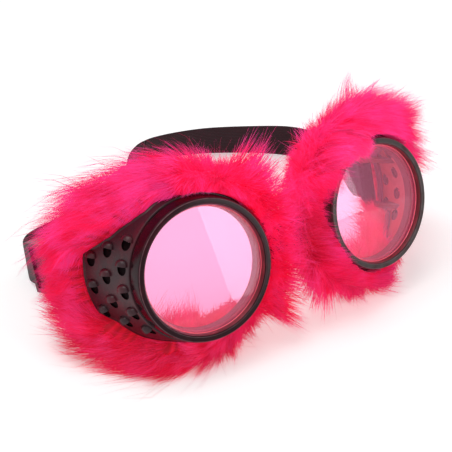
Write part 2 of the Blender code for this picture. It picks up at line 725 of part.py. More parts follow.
def make_stitching(name, side, along, inward, pitched):
    """A box stitch on the strap's inner face, where its end is sewn down."""
    place = strap_point(side, along, inward)
    sections = stitched_box(STRAP_WIDTH - 2 * STITCH_MARGIN, STITCH_LENGTH)
    turn = (0, 0, -side * STRAP_FLARE)
    return loft(name, sections, True, pitched, "thread", location=place, rotation=turn)


def make_slider(name, pitched):
    """Moulded slider: outer bars over the strap, and a middle bar that the strap's end is sewn round."""
    outer_low = STRAP_THICKNESS / 2 + GAP
    outer_high = outer_low + SLIDER_BAR
    inner_high = SLIDER_MIDDLE_BAR_IN + SLIDER_BAR / 2
    rail_height = SLIDER_RAIL_SPAN / 2 + SLIDER_RAIL / 2
    rail_depth = outer_high + inner_high
    rail_middle = (inner_high - outer_high) / 2
    rails = [box((rail_middle, 0, end * rail_height), (rail_depth, SLIDER_LENGTH, SLIDER_RAIL)) for end in (-1, 1)]
    length = SLIDER_RAIL_SPAN + SLIDER_RAIL
    bars = []
    for end in (-1, 1):
        place = (-(outer_low + outer_high) / 2, end * (SLIDER_LENGTH - SLIDER_OUTER_BAR_WIDTH) / 2, 0)
        bars.append(box(place, (SLIDER_BAR, SLIDER_OUTER_BAR_WIDTH, length)))
    bars.append(pin(SLIDER_MIDDLE_BAR_IN, 0, -length / 2, length / 2, SLIDER_BAR / 2, 12))
    place = strap_point(-1, SLIDER_STATION, 0)
    slider = lofts(name, rails, pitched, "moulding", location=place, rotation=(0, 0, STRAP_FLARE))
    cross = lofts(name + "_bars", bars, pitched, location=place, rotation=(0, 0, STRAP_FLARE))
    combine(slider, cross, "UNION")
    return slider


def make_eyepiece(word, side, pitched, floor):
    """Everything that swings with one cup, on an empty at its nose bar."""
    across, back = nose_bar_place(side)
    pivot = empty(word + "_nose_pivot", pitched, (across, back, 0))
    eye = empty(word + "_eye", pivot, (side * EYE_HALF_SPACING - across, -back, 0), (0, 0, side * EYE_WRAP))
    make_eyecup(word + "_eyecup", side, eye)
    make_gasket(word + "_gasket", eye)
    make_lens(word + "_lens", eye)
    make_ring(word + "_screw_ring", eye)
    make_backing(word + "_fur_backing", side, eye)
    make_fur(word + "_fur_trim", side, eye, floor)


def stand_on_origin(root):
    """Move the root so that the middle of the goggles' underside is the origin."""
    bpy.context.view_layer.update()
    depsgraph = bpy.context.evaluated_depsgraph_get()
    corners = []
    for thing in bpy.data.objects:
        if thing.type == "MESH" and not thing.hide_render:
            shown = thing.evaluated_get(depsgraph)
            flat = np.empty(len(shown.data.vertices) * 3)
            shown.data.vertices.foreach_get("co", flat)
            place = np.array(shown.matrix_world)
            corners.append(flat.reshape(-1, 3) @ place[:3, :3].T + place[:3, 3])
    corners = np.concatenate(corners)
    low = corners.min(axis=0)
    high = corners.max(axis=0)
    root.location = (-(low[0] + high[0]) / 2, -(low[1] + high[1]) / 2, -low[2])
    bpy.context.view_layer.update()


def main():
    for thing in list(bpy.data.objects):
        bpy.data.objects.remove(thing, do_unlink=True)
    root = empty("goggles")
    pitched = empty("pitched", root, (0, 0, EYE_HEIGHT), (-LENS_PITCH, 0, 0))
    floor = lofts("floor_cut", [box((0, 0, -FLOOR_CUT[2] / 2), FLOOR_CUT)], root)
    make_eyepiece("right", -1, pitched, floor)
    make_eyepiece("left", 1, pitched, floor)
    make_bridge("nose_bridge", pitched)
    make_bridge_stitching("bridge_stitching", pitched)
    make_strap("head_strap", root)
    make_slider("strap_slider", pitched)
    inner_face = STRAP_THICKNESS / 2 + GAP + THREAD_RISE / 2
    sewn_end = SLIDER_MIDDLE_BAR_IN + SLIDER_LOOP_R + inner_face
    make_stitching("slider_stitching", -1, (SLIDER_LAP_START + SLIDER_LAP_END) / 2, sewn_end, pitched)
    lapped = (TEMPLE_LAP_START + TEMPLE_LAP_END) / 2
    make_stitching("temple_stitching", 1, lapped, PLY_STEP + inner_face, pitched)
    stand_on_origin(root)


main()
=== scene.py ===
"""Looks of the fur-trimmed party goggles, laid out as a Blender add-on round the fixed frame.

Each eyepiece has its own eye frame, found from the joints: the origin is the middle of the screw ring's
front, x runs across towards the wearer's left, y runs back along the lens axis and z up the lens.
Angles round a cup are in degrees, from the top past the temple (90) to the bottom (180) and the nose.
"""

import json
import math

import bmesh
import bpy
import numpy as np
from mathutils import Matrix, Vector


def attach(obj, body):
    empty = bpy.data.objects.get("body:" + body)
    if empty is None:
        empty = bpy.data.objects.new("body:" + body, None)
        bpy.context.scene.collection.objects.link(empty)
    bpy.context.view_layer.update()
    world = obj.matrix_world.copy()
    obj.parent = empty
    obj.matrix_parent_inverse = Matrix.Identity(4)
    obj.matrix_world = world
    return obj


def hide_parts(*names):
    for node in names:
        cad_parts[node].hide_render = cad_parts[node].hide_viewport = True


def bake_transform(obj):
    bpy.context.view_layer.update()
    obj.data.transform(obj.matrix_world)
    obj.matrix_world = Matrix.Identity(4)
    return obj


bl_info = {
    "name": "Party goggles looks",
    "version": (1, 0, 0),
    "blender": (4, 5, 0),
    "location": "View3D > Sidebar > Goggles",
    "description": "Builds the visible surfaces of fur-trimmed party goggles",
    "category": "Object",
}

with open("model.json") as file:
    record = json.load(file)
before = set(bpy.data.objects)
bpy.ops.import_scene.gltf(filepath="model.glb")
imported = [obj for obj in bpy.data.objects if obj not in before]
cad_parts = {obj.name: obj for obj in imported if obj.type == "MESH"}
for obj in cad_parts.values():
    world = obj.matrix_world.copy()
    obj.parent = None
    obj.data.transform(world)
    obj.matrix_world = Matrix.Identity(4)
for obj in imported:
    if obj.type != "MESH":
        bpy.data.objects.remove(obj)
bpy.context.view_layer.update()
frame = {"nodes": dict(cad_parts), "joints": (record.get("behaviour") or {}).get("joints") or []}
MM = 0.001
SIDES = {"right": -1, "left": 1}

# Cup, band and fur, as the solids have them
FLANGE_R = 28.8 * MM
FLANGE_FRONT = 6.5 * MM
CUP_FLARE = 0.30
CUP_WALL_ACROSS = 1.879 * MM
REAR_EDGE_ANGLE = (0, 30, 41, 56, 64, 72, 110, 113, 118, 138, 145, 151, 180, 230, 270, 310, 360)
REAR_EDGE_DEPTH = (11, 11, 13.7, 20, 26, 33.5, 33.5, 31, 25.5, 22, 17, 11, 11, 13, 14, 13, 11)
BAND_TUCK = 2.0 * MM
BAND_REACH = 6.0 * MM
BAND_THICKNESS = 1.0 * MM
BAND_SHOWN_ANGLE = (0, 60, 115, 130, 210, 235, 330, 360)
BAND_SHOWN = (3.0, 2.0, 2.0, 6.0, 6.0, 2.0, 2.0, 3.0)
FUR_START = 1.0 * MM
FUR_BULGE = 3.0 * MM
FUR_ANGLE = (0, 25, 45, 70, 90, 110, 140, 165, 190, 215, 250, 300, 335, 360)
FUR_LENGTH = (18, 21, 24, 22, 20, 22, 22, 19, 15, 13, 14, 14, 15, 18)
FUR_THICKNESS = (13, 14, 16, 20, 21, 20, 17, 14, 12, 10, 9, 9, 11, 13)
SECTION_OUT = (0.0, 0.30, 0.62, 0.88, 1.00, 0.95, 0.75, 0.40, 0.10, 0.0)
SECTION_BACK = (0.0, 0.00, 0.00, 0.15, 0.40, 0.65, 1.00, 1.00, 0.75, 0.35)
SECTION_LEAN = (0.0, 0.4, 1.0, 0.2, 0, 0, 0, 0, 0, 0)

# How the pile is combed, by angle: degrees round each cup, millimetres forward over it, share of its length
COMB_ROUND = {
    "right": ((0, 30, 60, 90, 135, 160, 190, 225, 250, 300, 330, 360),
              (20, 22, 9, -2, -12, -18, -14, 0, 4, 2, 12, 20)),
    "left": ((0, 30, 60, 90, 125, 155, 180, 250, 300, 330, 360), (14, 18, 12, 2, 4, 12, 2, 4, -6, 0, 14)),
}
COMB_FORWARD = {
    "right": ((0, 12, 20, 42, 60, 120, 145, 180, 225, 270, 315, 360),
              (5, 2, -1, -3, -2, -1, 0, 5, 8, 10, 10, 5)),
    "left": ((0, 20, 45, 75, 95, 135, 180, 225, 270, 300, 330, 360),
             (13, 17, 25, 26, 8, 1, 6, 9, 13, 17, 17, 13)),
}
COVER_FORWARD = {
    "right": ((0, 10, 18, 36, 180, 205, 225, 250, 290, 330, 345, 360),
              (8, 4, 0, 0, 0, 6, 11, 14, 14, 12, 10, 8)),
    "left": ((0, 30, 45, 75, 100, 150, 180, 205, 225, 250, 264, 280, 296, 306, 330, 360),
             (14, 15, 18, 12, 0, 0, 10, 15, 18, 19, 17, 12.5, 12.5, 17, 15, 14)),
}
COMB_REACH = {
    "right": ((0, 20, 40, 52, 60, 68, 86, 108, 140, 180, 360),
              (0.98, 1.08, 1.13, 1.04, 0.90, 0.79, 0.76, 0.90, 1.0, 1.0, 0.98)),
    "left": ((0, 30, 50, 90, 112, 130, 158, 180, 270, 305, 335, 360),
             (0.92, 0.90, 0.98, 1.10, 0.92, 0.68, 0.72, 1.0, 1.0, 1.2, 1.1, 0.92)),
}
WISP_REACH = {
    "right": ((0, 30, 50, 75, 110, 150, 360), (1.0, 0.9, 0.65, 0.52, 0.6, 1.0, 1.0)),
    "left": ((0, 40, 60, 120, 150, 360), (0.92, 0.85, 0.72, 0.75, 1.0, 0.92)),
}
COMB_OVER = {"right": 0.6, "left": 0.95}
FRINGE_SPAN = {"right": (140, 207), "left": (112, 215)}
FRINGE_INWARD = {"right": (4 * MM, 13 * MM), "left": (8 * MM, 20 * MM)}
FRINGE_SHAPE = {
    "right": ((140, 156, 170, 186, 207), (0.5, 1.0, 1.0, 0.45, 0.25)),
    "left": ((112, 125, 140, 160, 215), (0.6, 0.9, 1.0, 1.0, 0.7)),
}
CREST = (
    ((5 * MM, 14 * MM, 30 * MM), (1 * MM, 15 * MM, 46 * MM), (9 * MM, 15 * MM, 56 * MM)),
    ((8 * MM, 12 * MM, 30 * MM), (6 * MM, 11 * MM, 45 * MM), (19 * MM, 8 * MM, 49.5 * MM)),
)
BACK_TRIM = ((0, 186, 204, 244, 264, 360), (1, 1, 0.62, 0.62, 1, 1))
FORELOCK_SPAN = (314, 349)
RING_CLEAR_R = 29.2 * MM
RING_CLEAR_DEPTH = 7.5 * MM
HAIR_TAPER = np.array([0.8, 1.0, 0.95, 0.8, 0.5, 0.10])
HAIR_STATIONS = np.linspace(0, 1, len(HAIR_TAPER))[None, :, None]
HAIR_LIMIT = np.array([109.5, 97.0, 91.5]) * MM
HAIR_FLOOR = (0, 0, 0.15 * MM)
ALL_ROUND = (0, 360)
UNDERCOAT_SHARE = 0.45
UNDERCOAT_FLOOR = 0.5 * MM
SKIRT_FLOOR = 0.4 * MM
SKIRT_FULL = 6 * MM

# How hairs stray from their tuft: degrees round the cup and of combing, shares of the pile's form at the
# tip and at the root, share of length; then how far they rise square to the band, bend out and sag
HAIR_ANGLE_STRAY = 2.2
HAIR_COMB_STRAY = 1.2
HAIR_TIP_STRAY = 0.035
HAIR_ROOT_STRAY = 0.12
HAIR_LENGTH_STRAY = 0.09
HAIR_RISE = 0.48
HAIR_BEND = 0.05
HAIR_SAG = 0.03
DYE_OF_TUFT = 0.7
DYE_OF_HAIR = 0.3
CUP_TURN = np.arange(240)[:, None] * 1.5
SKIRT_TURN = np.arange(600)[:, None] * 0.6

# Layers of the pile: from and to which share of its form each grows, and the least and most of its reach
LAYERS = {
    "front": ((0.0, 0.42), (0.72, 1.10)),
    "crown": ((0.28, 0.75), (0.76, 1.12)),
    "back": ((0.62, 0.98), (0.74, 1.12)),
}
COVER_SPAN = (180, 400)
COVER_SHARES = (0.0, 0.15)
COVER_REACH = (0.98, 1.12)
WISP_SHARES = (0.05, 0.85)
WISP_LENGTHS = (1.08, 1.45)
FINE_TIP_SPAN = (138, 180)
FINE_TIP_INWARD = (10 * MM, 19 * MM)
FUZZ_SPAN = (95, 215)
FUZZ_INWARD = (0.8 * MM, 2.5 * MM)
NOSE_SPAN = (222, 330)

# Hair over the nose gap: how far its tufts reach across, stand in front and rise, in millimetres; its
# roots' depths; then shares of the reach and, for the swell, of the roots' radius
NOSE_REACH = (5, 19)
NOSE_FRONT = (0.5, 8.5)
NOSE_RISE_STRAY = 3.5
NOSE_RISE_WAVE = 2
NOSE_HAIR_STRAY = 0.8
NOSE_ROOT_DEPTHS = (9.5 * MM, 14 * MM)
NOSE_HAIR_REACH = (0.7, 1.1)
NOSE_LIFT = 0.9
NOSE_SWELL = 0.16

# Fringe behind the lens: how its tufts bend, in degrees, and stand back, in millimetres; then each hair's
# share of its tuft's fall, and its drift as a share of its own length
FRINGE_BEND = 7
FRINGE_BACK = (-4, 8)
FRINGE_FALL = (0.35, 1.0)
FRINGE_DRIFT = 0.10

# Forelock: its roots behind the ring, its middle over the rim and its tips; turns are in degrees, and the
# tips' radius, how far they lie inward of it and the lift are in millimetres
LOCK_ROOT_R = 33 * MM
LOCK_ROOT_SPREAD = 5 * MM
LOCK_ROOT_DEPTH = 11 * MM
LOCK_ROOT_RISE = 4 * MM
LOCK_ROOT_TURN = 14
LOCK_MIDDLE_R = 36 * MM
LOCK_MIDDLE_SPREAD = 3 * MM
LOCK_MIDDLE_FRONT = 2 * MM
LOCK_MIDDLE_TURN = 4
LOCK_TIP_R = 29
LOCK_TIP_INWARD = 8
LOCK_TIP_FRONT = 0.8 * MM
LOCK_TIP_TURN = 6
LOCK_LIFT = (0.8, 5.0)
LOCK_TUFTS = 120
LOCK_HAIRS = 16

# Raised locks: hairs in one, spread of their roots in millimetres, reach, how far their tips are drawn
# together, and the wave that runs along them
CREST_HAIRS = 90
CREST_SPREAD = (4.5, 2.0, 1.0)
CREST_REACH = (0.55, 1.0)
CREST_DRAWN = 0.85
CREST_WAVE = (0.7 * MM, 0, 0)

# Eyecup, as the solid has it, with finer hoods over its vents
SEAT_R = 23.6 * MM
RECESS_R = 25.0 * MM
COLLAR_R = 25.8 * MM
COLLAR_FRONT = 2.6 * MM
SEAT_DEPTH = 5.3 * MM
FLANGE_BACK = 8.6 * MM
THREAD_PITCH = 3.0 * MM
THREAD_HEIGHT = 0.5 * MM
THREAD_FROM = 3.35 * MM
THREAD_TO = 5.75 * MM
VENT_DEPTHS = (10.5 * MM, 19.6 * MM, 28.5 * MM)
VENT_FIRST_COUNT = 5
VENT_PITCH = 18.0
HOOD_R = 2.95 * MM
HOOD_HEIGHT = 2.1 * MM
HOOD_LENGTH = 2.6 * MM
HOOD_WALL = 0.5 * MM
HOOD_FOOT = 0.7 * MM
HOOD_LIP = 0.35 * MM
PIT_R = 2.5 * MM
PIT_DROP = 1.4 * MM
PIT_FLOOR = 0.8 * MM
DIMPLE_FLOOR = 1.15 * MM
HOLE_R = 0.9 * MM
HOLE_DROP = -0.4 * MM
LUG = 2.0 * MM
LUG_ROUND = 2.5 * MM
TEMPLE_LUG_ROOT = (16.0 * MM, 25.5 * MM)
TEMPLE_LUG_INSET = 3.0 * MM
TEMPLE_LUG_STEP = 0.9 * MM
LUG_SINK = 1.2 * MM
NOSE_LUG_SINK = 0.6 * MM
NOSE_BAR_ACROSS = 34.0 * MM
NOSE_BAR_DEPTH = 10.5 * MM
BAR_R = 1.5 * MM
PLATE_RIM = 0.3 * MM
VENT_REACH = 4 * MM
INSIDE_SKIN = 0.12 * MM
DIMPLE_TOP = 0.85 * MM
# Looks of the cup's faces: its own colour outside, painted light inside, painted shade in pits, dimples, bore
# and on lugs, painted highlight on rear edges
CUP_LOOKS = ("moulded_cup", "moulded_cup_inside_painted_light", "moulded_cup_pits_painted_shade", "moulded_cup_dimples_painted_shade",
             "moulded_cup_edges_painted_highlight", "moulded_cup_lugs_painted_shade")
OUTSIDE, INSIDE_PAINTED_LIGHT, PIT_PAINTED_SHADE, DIMPLE_PAINTED_SHADE, EDGE_PAINTED_HIGHLIGHT, LUG_PAINTED_SHADE = range(len(CUP_LOOKS))

# Screw ring's section as pairs of radius and depth, and the lens in it with its bright bead
RING_PROFILE = np.array([
    (24.6, 1.5), (25.1, 0.35), (25.4, 0.0), (27.3, 0.0), (27.62, 0.6),
    (28.3, 5.8), (28.0, 6.2), (26.35, 6.2), (26.35, 2.3), (24.6, 2.3),
]) * MM
RING_INNER_R = 24.95 * MM
RING_INNER_DEPTH = 2.2 * MM
LENS_R = 24.9 * MM
LENS_FRONT = 2.6 * MM
LENS_BACK = 4.1 * MM
LENS_EASE = 0.3 * MM
LENS_TURN = np.arange(180)[None] * 2.0
BEAD_ACROSS = 24.38 * MM
BEAD_DEPTH = 2.42 * MM

# Elastic strap and nose loop, as the solids have them
EYE_HALF_SPACING = 43.4 * MM
EYE_WRAP = math.radians(5.06)
TEMPLE_BAR_ACROSS = 28.5 * MM
TEMPLE_BAR_DEPTH = 36.0 * MM
TEMPLE_BAR_HEIGHT = -1.1 * MM
STRAP_WIDTH = 18.5 * MM
STRAP_THICKNESS = 1.2 * MM
STRAP_FLARE = math.radians(8.5)
SEWN_GAP = 0.3 * MM
BAR_LOOP_R = 2.4 * MM
SLIDER_LOOP_R = 1.7 * MM
PLY_STEP = STRAP_THICKNESS + SEWN_GAP
SLIDER_BAR_IN = PLY_STEP + SLIDER_LOOP_R
SLIDER_STATION = 42.0 * MM
SLIDER_HALF = 7.0 * MM
LAP = (28.0 * MM, 36.4 * MM)
TEMPLE_LAP = (7.0 * MM, 15.4 * MM)
STRAP_ROUTE = (
    (-77.6, 92.5, 0.03, 0.20, 1.0),
    (-72.0, 99.5, 0.02, 0.06, 0),
    (-60.0, 103.5, 0.0, 0.0, 0),
    (-42.0, 108.0, 0.0, 0.0, 0),
    (-24.0, 116.0, 0.0, -0.02, 0),
    (-9.0, 127.0, 0.0, -0.08, 0),
    (1.0, 140.0, -0.03, -0.15, 0),
    (8.0, 147.5, -0.06, -0.24, 0),
    (16.0, 152.8, -0.10, -0.32, 0),
    (26.0, 155.0, -0.11, -0.35, 0),
    (40.0, 152.5, -0.11, -0.33, 0),
    (55.0, 146.5, -0.10, -0.28, 0),
    (74.0, 134.5, -0.10, -0.20, 0),
    (89.0, 122.0, -0.06, -0.10, 0),
    (95.5, 110.0, 0.0, 0.0, 0),
    (94.0, 95.0, 0.0, 0.05, 3.0),
    (88.0, 78.0, 0.0, 0.15, 10.0),
)
BRIDGE_WIDTH = 12.0 * MM
BRIDGE_THICKNESS = 1.5 * MM
BAND_CORNERS = 24
ROUTE_STEPS = 8
STITCH_LENGTH = 1.6 * MM
STITCH_GAP = 0.2 * MM
STITCH_BOX = 8 * MM
SLIDER_BOX_HEIGHT = 14.5 * MM
SLIDER_SHARP = math.radians(35)
SLIDER_ROUND = 0.35 * MM

# Stage: each lamp's name, place, width, height and power, and the photograph's camera
LAMPS = (
    ("top_softbox", (-0.25, 0.10, 0.95), 0.7, 0.7, 3.8),
    ("side_softbox", (0.36, -0.65, 0.18), 0.42, 0.36, 2.0),
)
CAMERA_AZIMUTH = math.radians(-34.67)
CAMERA_ELEVATION = math.radians(31.66)
CAMERA_PLACE = np.array([-203.35, -243.41, 199.18]) * MM
SENSOR_WIDTH = 36.0
FOCAL_PIXELS = 948.0
PHOTO_PIXELS = 452.0
FLOOR_HALF = 4
FLOOR_COLOUR = (0.93, 0.93, 0.93, 1)
FLOOR_FAR = (0.25, 1.2)
FLOOR_LIFT = (0.30, 0.60)
SURROUNDINGS_LIGHT = 0.50
SURROUNDINGS_SEEN = 0.50

# Each moulded look: the property of its colour and the share of it, the same for the tint in its clouds,
# roughness, dust, strength and height of its relief, and its specular level
MOULDED = {
    "moulded_cup": ("moulding", 1, "moulding_glow", 1, 0.27, 0.16, 0.25, 0.00008, 0.3),
    # Painted light: the cups' insides, the same dark moulding, coloured bright as if lit through the lenses
    "moulded_cup_inside_painted_light": ("inside", 1, "inside", 0.8, 0.4, 0.2, 0.2, 0.00006, 0.5),
    # Painted shade: the vent pits, near black as in the hoods' shadow
    "moulded_cup_pits_painted_shade": ("ring", 0.25, "ring", 0.25, 0.6, 0.02, 0.2, 0.00006, 0.05),
    # Painted shade: the inner dimples under the hoods and the bore behind the lens, a darker share of the
    # painted-light inside
    "moulded_cup_dimples_painted_shade": ("inside", 0.30, "inside", 0.24, 0.45, 0.1, 0.2, 0.00006, 0.3),
    # Painted highlight: a paler line along the cups' rear edges
    "moulded_cup_edges_painted_highlight": ("ring_painted_highlight", 0.5, "ring_painted_highlight", 1, 0.3, 0.3, 0.3, 0.00008, 0.4),
    # Painted shade: lugs, bars and other parts inside the wall, a darker share of the painted-light inside
    "moulded_cup_lugs_painted_shade": ("inside", 0.36, "inside", 0.288, 0.5, 0.2, 0.2, 0.00006, 0.2),
    # Painted glow: the ring's inner wall beside the lens is coloured red, as if lit by the lens's edge
    "screw_ring_inner_wall_painted_glow": ("ring_inner_painted_glow", 1, "ring_inner_painted_glow", 1.8, 0.25, 0.05, 0.15, 0.00005, 0.4),
    "gasket_rubber": ("rubber", 1, "rubber", 1.2, 0.6, 0.1, 0.3, 0.00005, 0.35),
}

# Each woven look: the property of its colour, the share of it between ribs, ribs across the band, length of
# a pick, strength and height of its relief, and its sheen
WOVEN = {
    "woven_strap": ("elastic", 0.35, 17.0, 0.0008, 0.9, 0.0002, 0.2, 0.4),
    "woven_nose_loop": ("elastic", 0.35, 11.0, 0.0009, 0.9, 0.0002, 0.2, 0.4),
    "knitted_backing": ("knit", 0.4, 7.0, 0.0014, 1.0, 0.0003, 0.5, 0.5),
}

# Tints that the looks share out by place; the fur's are painted shade near the floor and in the nose gap
DUST = (0.35, 0.28, 0.30, 1)
WHITE = (1, 1, 1, 1)
FUR_NEAR_FLOOR_PAINTED_SHADE = (0.84, 0.72, 0.52, 1)
FUR_IN_GAP_PAINTED_SHADE = (0.74, 0.32, 0.26, 1)
# Painted glow: the fur's emission, which stands for light scattered through the hair
FUR_PAINTED_GLOW_TINT = (1.0, 0.6, 0.7, 1)
FUR_SHEEN_TINT = (1.0, 0.35, 0.65, 1)
NOSE_SHADE = np.array([8.0, -72.0, 38.0]) * MM
NOSE_SHADE_SCALE = (1.0, 0.8, 0.6)
GUARD_HAIR_PAINTED_GLOW = 0.22
GUARD_HAIR_STRENGTH = 0.96

# Where looks change, in metres: painted light across and back on the strap, the fur's painted shade by its
# height and in the nose gap by the scaled distance, and its paler crown; the painted light's facing is a
# part of the normal
STRAP_LIGHT_ACROSS = (0.072, 0.080)
STRAP_LIGHT_BACK = (0.036, 0.016)
STRAP_LIGHT_FACING = (-0.2, -0.6)
FUR_FLOOR_SHADE = (0.006, 0.044)
FUR_GAP_SHADE = (0.003, 0.013)
FUR_CROWN = (0.058, 0.086)


def joint(name):
    return next(found for found in frame["joints"] if found["name"] == name)


def eye_axes(word):
    """Origin and the across, back and up directions of one eye frame, from its ring and swing joints."""
    turn = joint(word + "_ring_turn")
    back = -np.array(turn["axis"], float)
    up = np.array(joint("right_cup_swing")["axis"], float)
    return np.array(turn["pos_m"], float), np.stack([np.cross(back, up), back, up])


EYES = {word: eye_axes(word) for word in SIDES}
MIDDLE = (EYES["right"][0] + EYES["left"][0]) / 2
UP = np.array(joint("right_cup_swing")["axis"], float)
ACROSS = np.array([1.0, 0.0, 0.0])
BACK = np.cross(UP, ACROSS)


def from_eye(word, points):
    """Eye frame points in the frame that the goggles stand in."""
    origin, axes = EYES[word]
    return origin + np.asarray(points) @ axes


def from_pitched(points):
    """Points across, back and up from the middle of the rings, in the tilted plane of the cups."""
    return MIDDLE + np.asarray(points) @ np.stack([ACROSS, BACK, UP])


def polar(side, radius, angle, depth):
    """Eye frame points: across and up are radius times the sine and cosine of the angle."""
    turn = np.radians(angle)
    return np.stack(np.broadcast_arrays(side * radius * np.sin(turn), depth, radius * np.cos(turn)), axis=-1)


def inner_radius(depth):
    """Inner radius of the cup's cone: a straight line in the depth."""
    return FLANGE_R + CUP_FLARE * (depth - FLANGE_FRONT) - CUP_WALL_ACROSS


def by_angle(angle, angles, values):
    """Straight lines between the values given at some angles, repeated every turn."""
    return np.interp(np.mod(angle, 360), angles, values)


def rear_edge(angle):
    """Depth of the cup's rear edge."""
    return by_angle(angle, REAR_EDGE_ANGLE, REAR_EDGE_DEPTH) * MM


def unit(vectors):
    return vectors / np.maximum(np.linalg.norm(vectors, axis=-1, keepdims=True), 1e-12)


def smoothstep(low, high, value):
    """The cubic 3t^2 - 2t^3 of how far value lies from low to high."""
    share = np.clip((value - low) / (high - low), 0, 1)
    return share * share * (3 - 2 * share)


def arc(start, middle, end, t):
    """The quadratic curve (1-t)^2 start + 2t(1-t) middle + t^2 end."""
    return (1 - t) ** 2 * start + 2 * t * (1 - t) * middle + t ** 2 * end


def grid_faces(rows, cols, wrap_rows=False, wrap_cols=False, first=0):
    """Quads of a grid of rows x cols vertices, joined to its start where it wraps."""
    i = np.arange(rows if wrap_rows else rows - 1)[:, None]
    j = np.arange(cols if wrap_cols else cols - 1)[None]
    i2 = (i + 1) % rows
    j2 = (j + 1) % cols
    corners = [i * cols + j, i * cols + j2, i2 * cols + j2, i2 * cols + j]
    return first + np.stack(np.broadcast_arrays(*corners), axis=-1).reshape(-1, 4)


def new_object(name, mesh, look):
    made = bpy.data.objects.new(name, mesh)
    bpy.context.scene.collection.objects.link(made)
    mesh.materials.clear()
    mesh.materials.append(look)
    return made


def make_piece(name, points, quads, look, uv=None, caps=(), outward=True):
    """A mesh object from whole arrays of vertices and quads, with a UV pair for each vertex if given."""
    mesh = bpy.data.meshes.new(name)
    points = np.asarray(points, np.float32).reshape(-1, 3)
    quads = np.asarray(quads, np.int32)
    loops = quads.ravel()
    starts = np.arange(len(quads)) * 4
    for cap in caps:
        starts = np.append(starts, len(loops))
        loops = np.append(loops, cap)
    mesh.vertices.add(len(points))
    mesh.vertices.foreach_set("co", points.ravel())
    mesh.loops.add(len(loops))
    mesh.loops.foreach_set("vertex_index", loops.astype(np.int32))
    mesh.polygons.add(len(starts))
    mesh.polygons.foreach_set("loop_start", starts.astype(np.int32))
    mesh.polygons.foreach_set("use_smooth", np.full(len(starts), True))
    if uv is not None:
        layer = mesh.uv_layers.new(name="run")
        layer.data.foreach_set("uv", np.asarray(uv, np.float32).reshape(-1, 2)[loops].ravel())
    mesh.update(calc_edges=True)
    mesh.validate()
    if outward:
        work = bmesh.new()
        work.from_mesh(mesh)
        bmesh.ops.recalc_face_normals(work, faces=work.faces)
        work.to_mesh(mesh)
        work.free()
    return new_object(name, mesh, look)


def pair(u, v):
    """UV pairs from two arrays that broadcast together."""
    return np.stack(np.broadcast_arrays(u, v), axis=-1)


def face_places(mesh, word):
    """The middles of a mesh's faces in an eye frame."""
    centre = np.empty(len(mesh.polygons) * 3, np.float32)
    mesh.polygons.foreach_get("center", centre)
    origin, axes = EYES[word]
    return (centre.reshape(-1, 3) - origin) @ axes.T


def turned(word, name, profile, look, around, sharp, edge=0.0):
    """A closed profile of (radius, depth) pairs, turned round the lens axis; UV holds edges and turn."""
    radius, depth = np.array(profile).T
    angle = np.arange(around)[:, None] * (360 / around)
    points = from_eye(word, polar(SIDES[word], radius[None], angle, depth[None]))
    uv = pair(np.zeros(len(radius)) + edge, angle / 360)
    made = make_piece(name, points, grid_faces(around, len(radius), True, True), look, uv=uv)
    made.data.set_sharp_from_angle(angle=math.radians(sharp))
    return made


def rounded(profile, radius):
    """A closed profile whose corners are cut by quadratic arcs, and how near each point is to a corner."""
    points = []
    edge = []
    for before, corner, after in zip(np.roll(profile, 1, axis=0), profile, np.roll(profile, -1, axis=0)):
        to_before = before - corner
        to_after = after - corner
        cut = min(radius, np.linalg.norm(to_before) * 0.45, np.linalg.norm(to_after) * 0.45)
        start = corner + unit(to_before) * cut
        end = corner + unit(to_after) * cut
        bend = 1 + np.dot(unit(to_before), unit(to_after))
        for t in np.linspace(0, 1, 5):
            points.append(arc(start, corner, end, t))
            edge.append(min(1.0, 2 * bend) * math.sin(math.pi * t))
    return points, edge


# Eyecup


def shapes(name, points, word):
    """Closed shapes in one mesh: an array of shapes x sections x corners x 3, with a cap at both ends."""
    count, sections, corners = points.shape[:3]
    one = grid_faces(sections, corners, wrap_cols=True)
    size = sections * corners
    quads = (np.arange(count)[:, None, None] * size + one[None]).reshape(-1, 4)
    caps = []
    for i in range(count):
        caps.append(i * size + np.arange(corners)[::-1])
        caps.append((i + 1) * size - corners + np.arange(corners))
    return make_piece(name, from_eye(word, points), quads, material("moulded_cup"), caps=caps)


def vent_frames(side):
    """Each vent's point on the wall and its outward, downward and cross directions, all vents x 3."""
    depth = []
    angle = []
    for column, place in enumerate(VENT_DEPTHS):
        count = VENT_FIRST_COUNT - column
        depth += [place] * count
        angle += [90 + VENT_PITCH * (i - (count - 1) / 2) for i in range(count)]
    depth, angle = np.array(depth), np.array(angle)
    turn = np.radians(angle)
    slope = math.atan(CUP_FLARE)
    point = polar(side, inner_radius(depth) + CUP_WALL_ACROSS, angle, depth)
    out = np.stack([side * np.sin(turn) * math.cos(slope), np.full(len(turn), -math.sin(slope)),
                    np.cos(turn) * math.cos(slope)], axis=-1)
    down = np.stack([side * np.cos(turn), np.zeros(len(turn)), -np.sin(turn)], axis=-1)
    return point, out, down, np.cross(out, down)


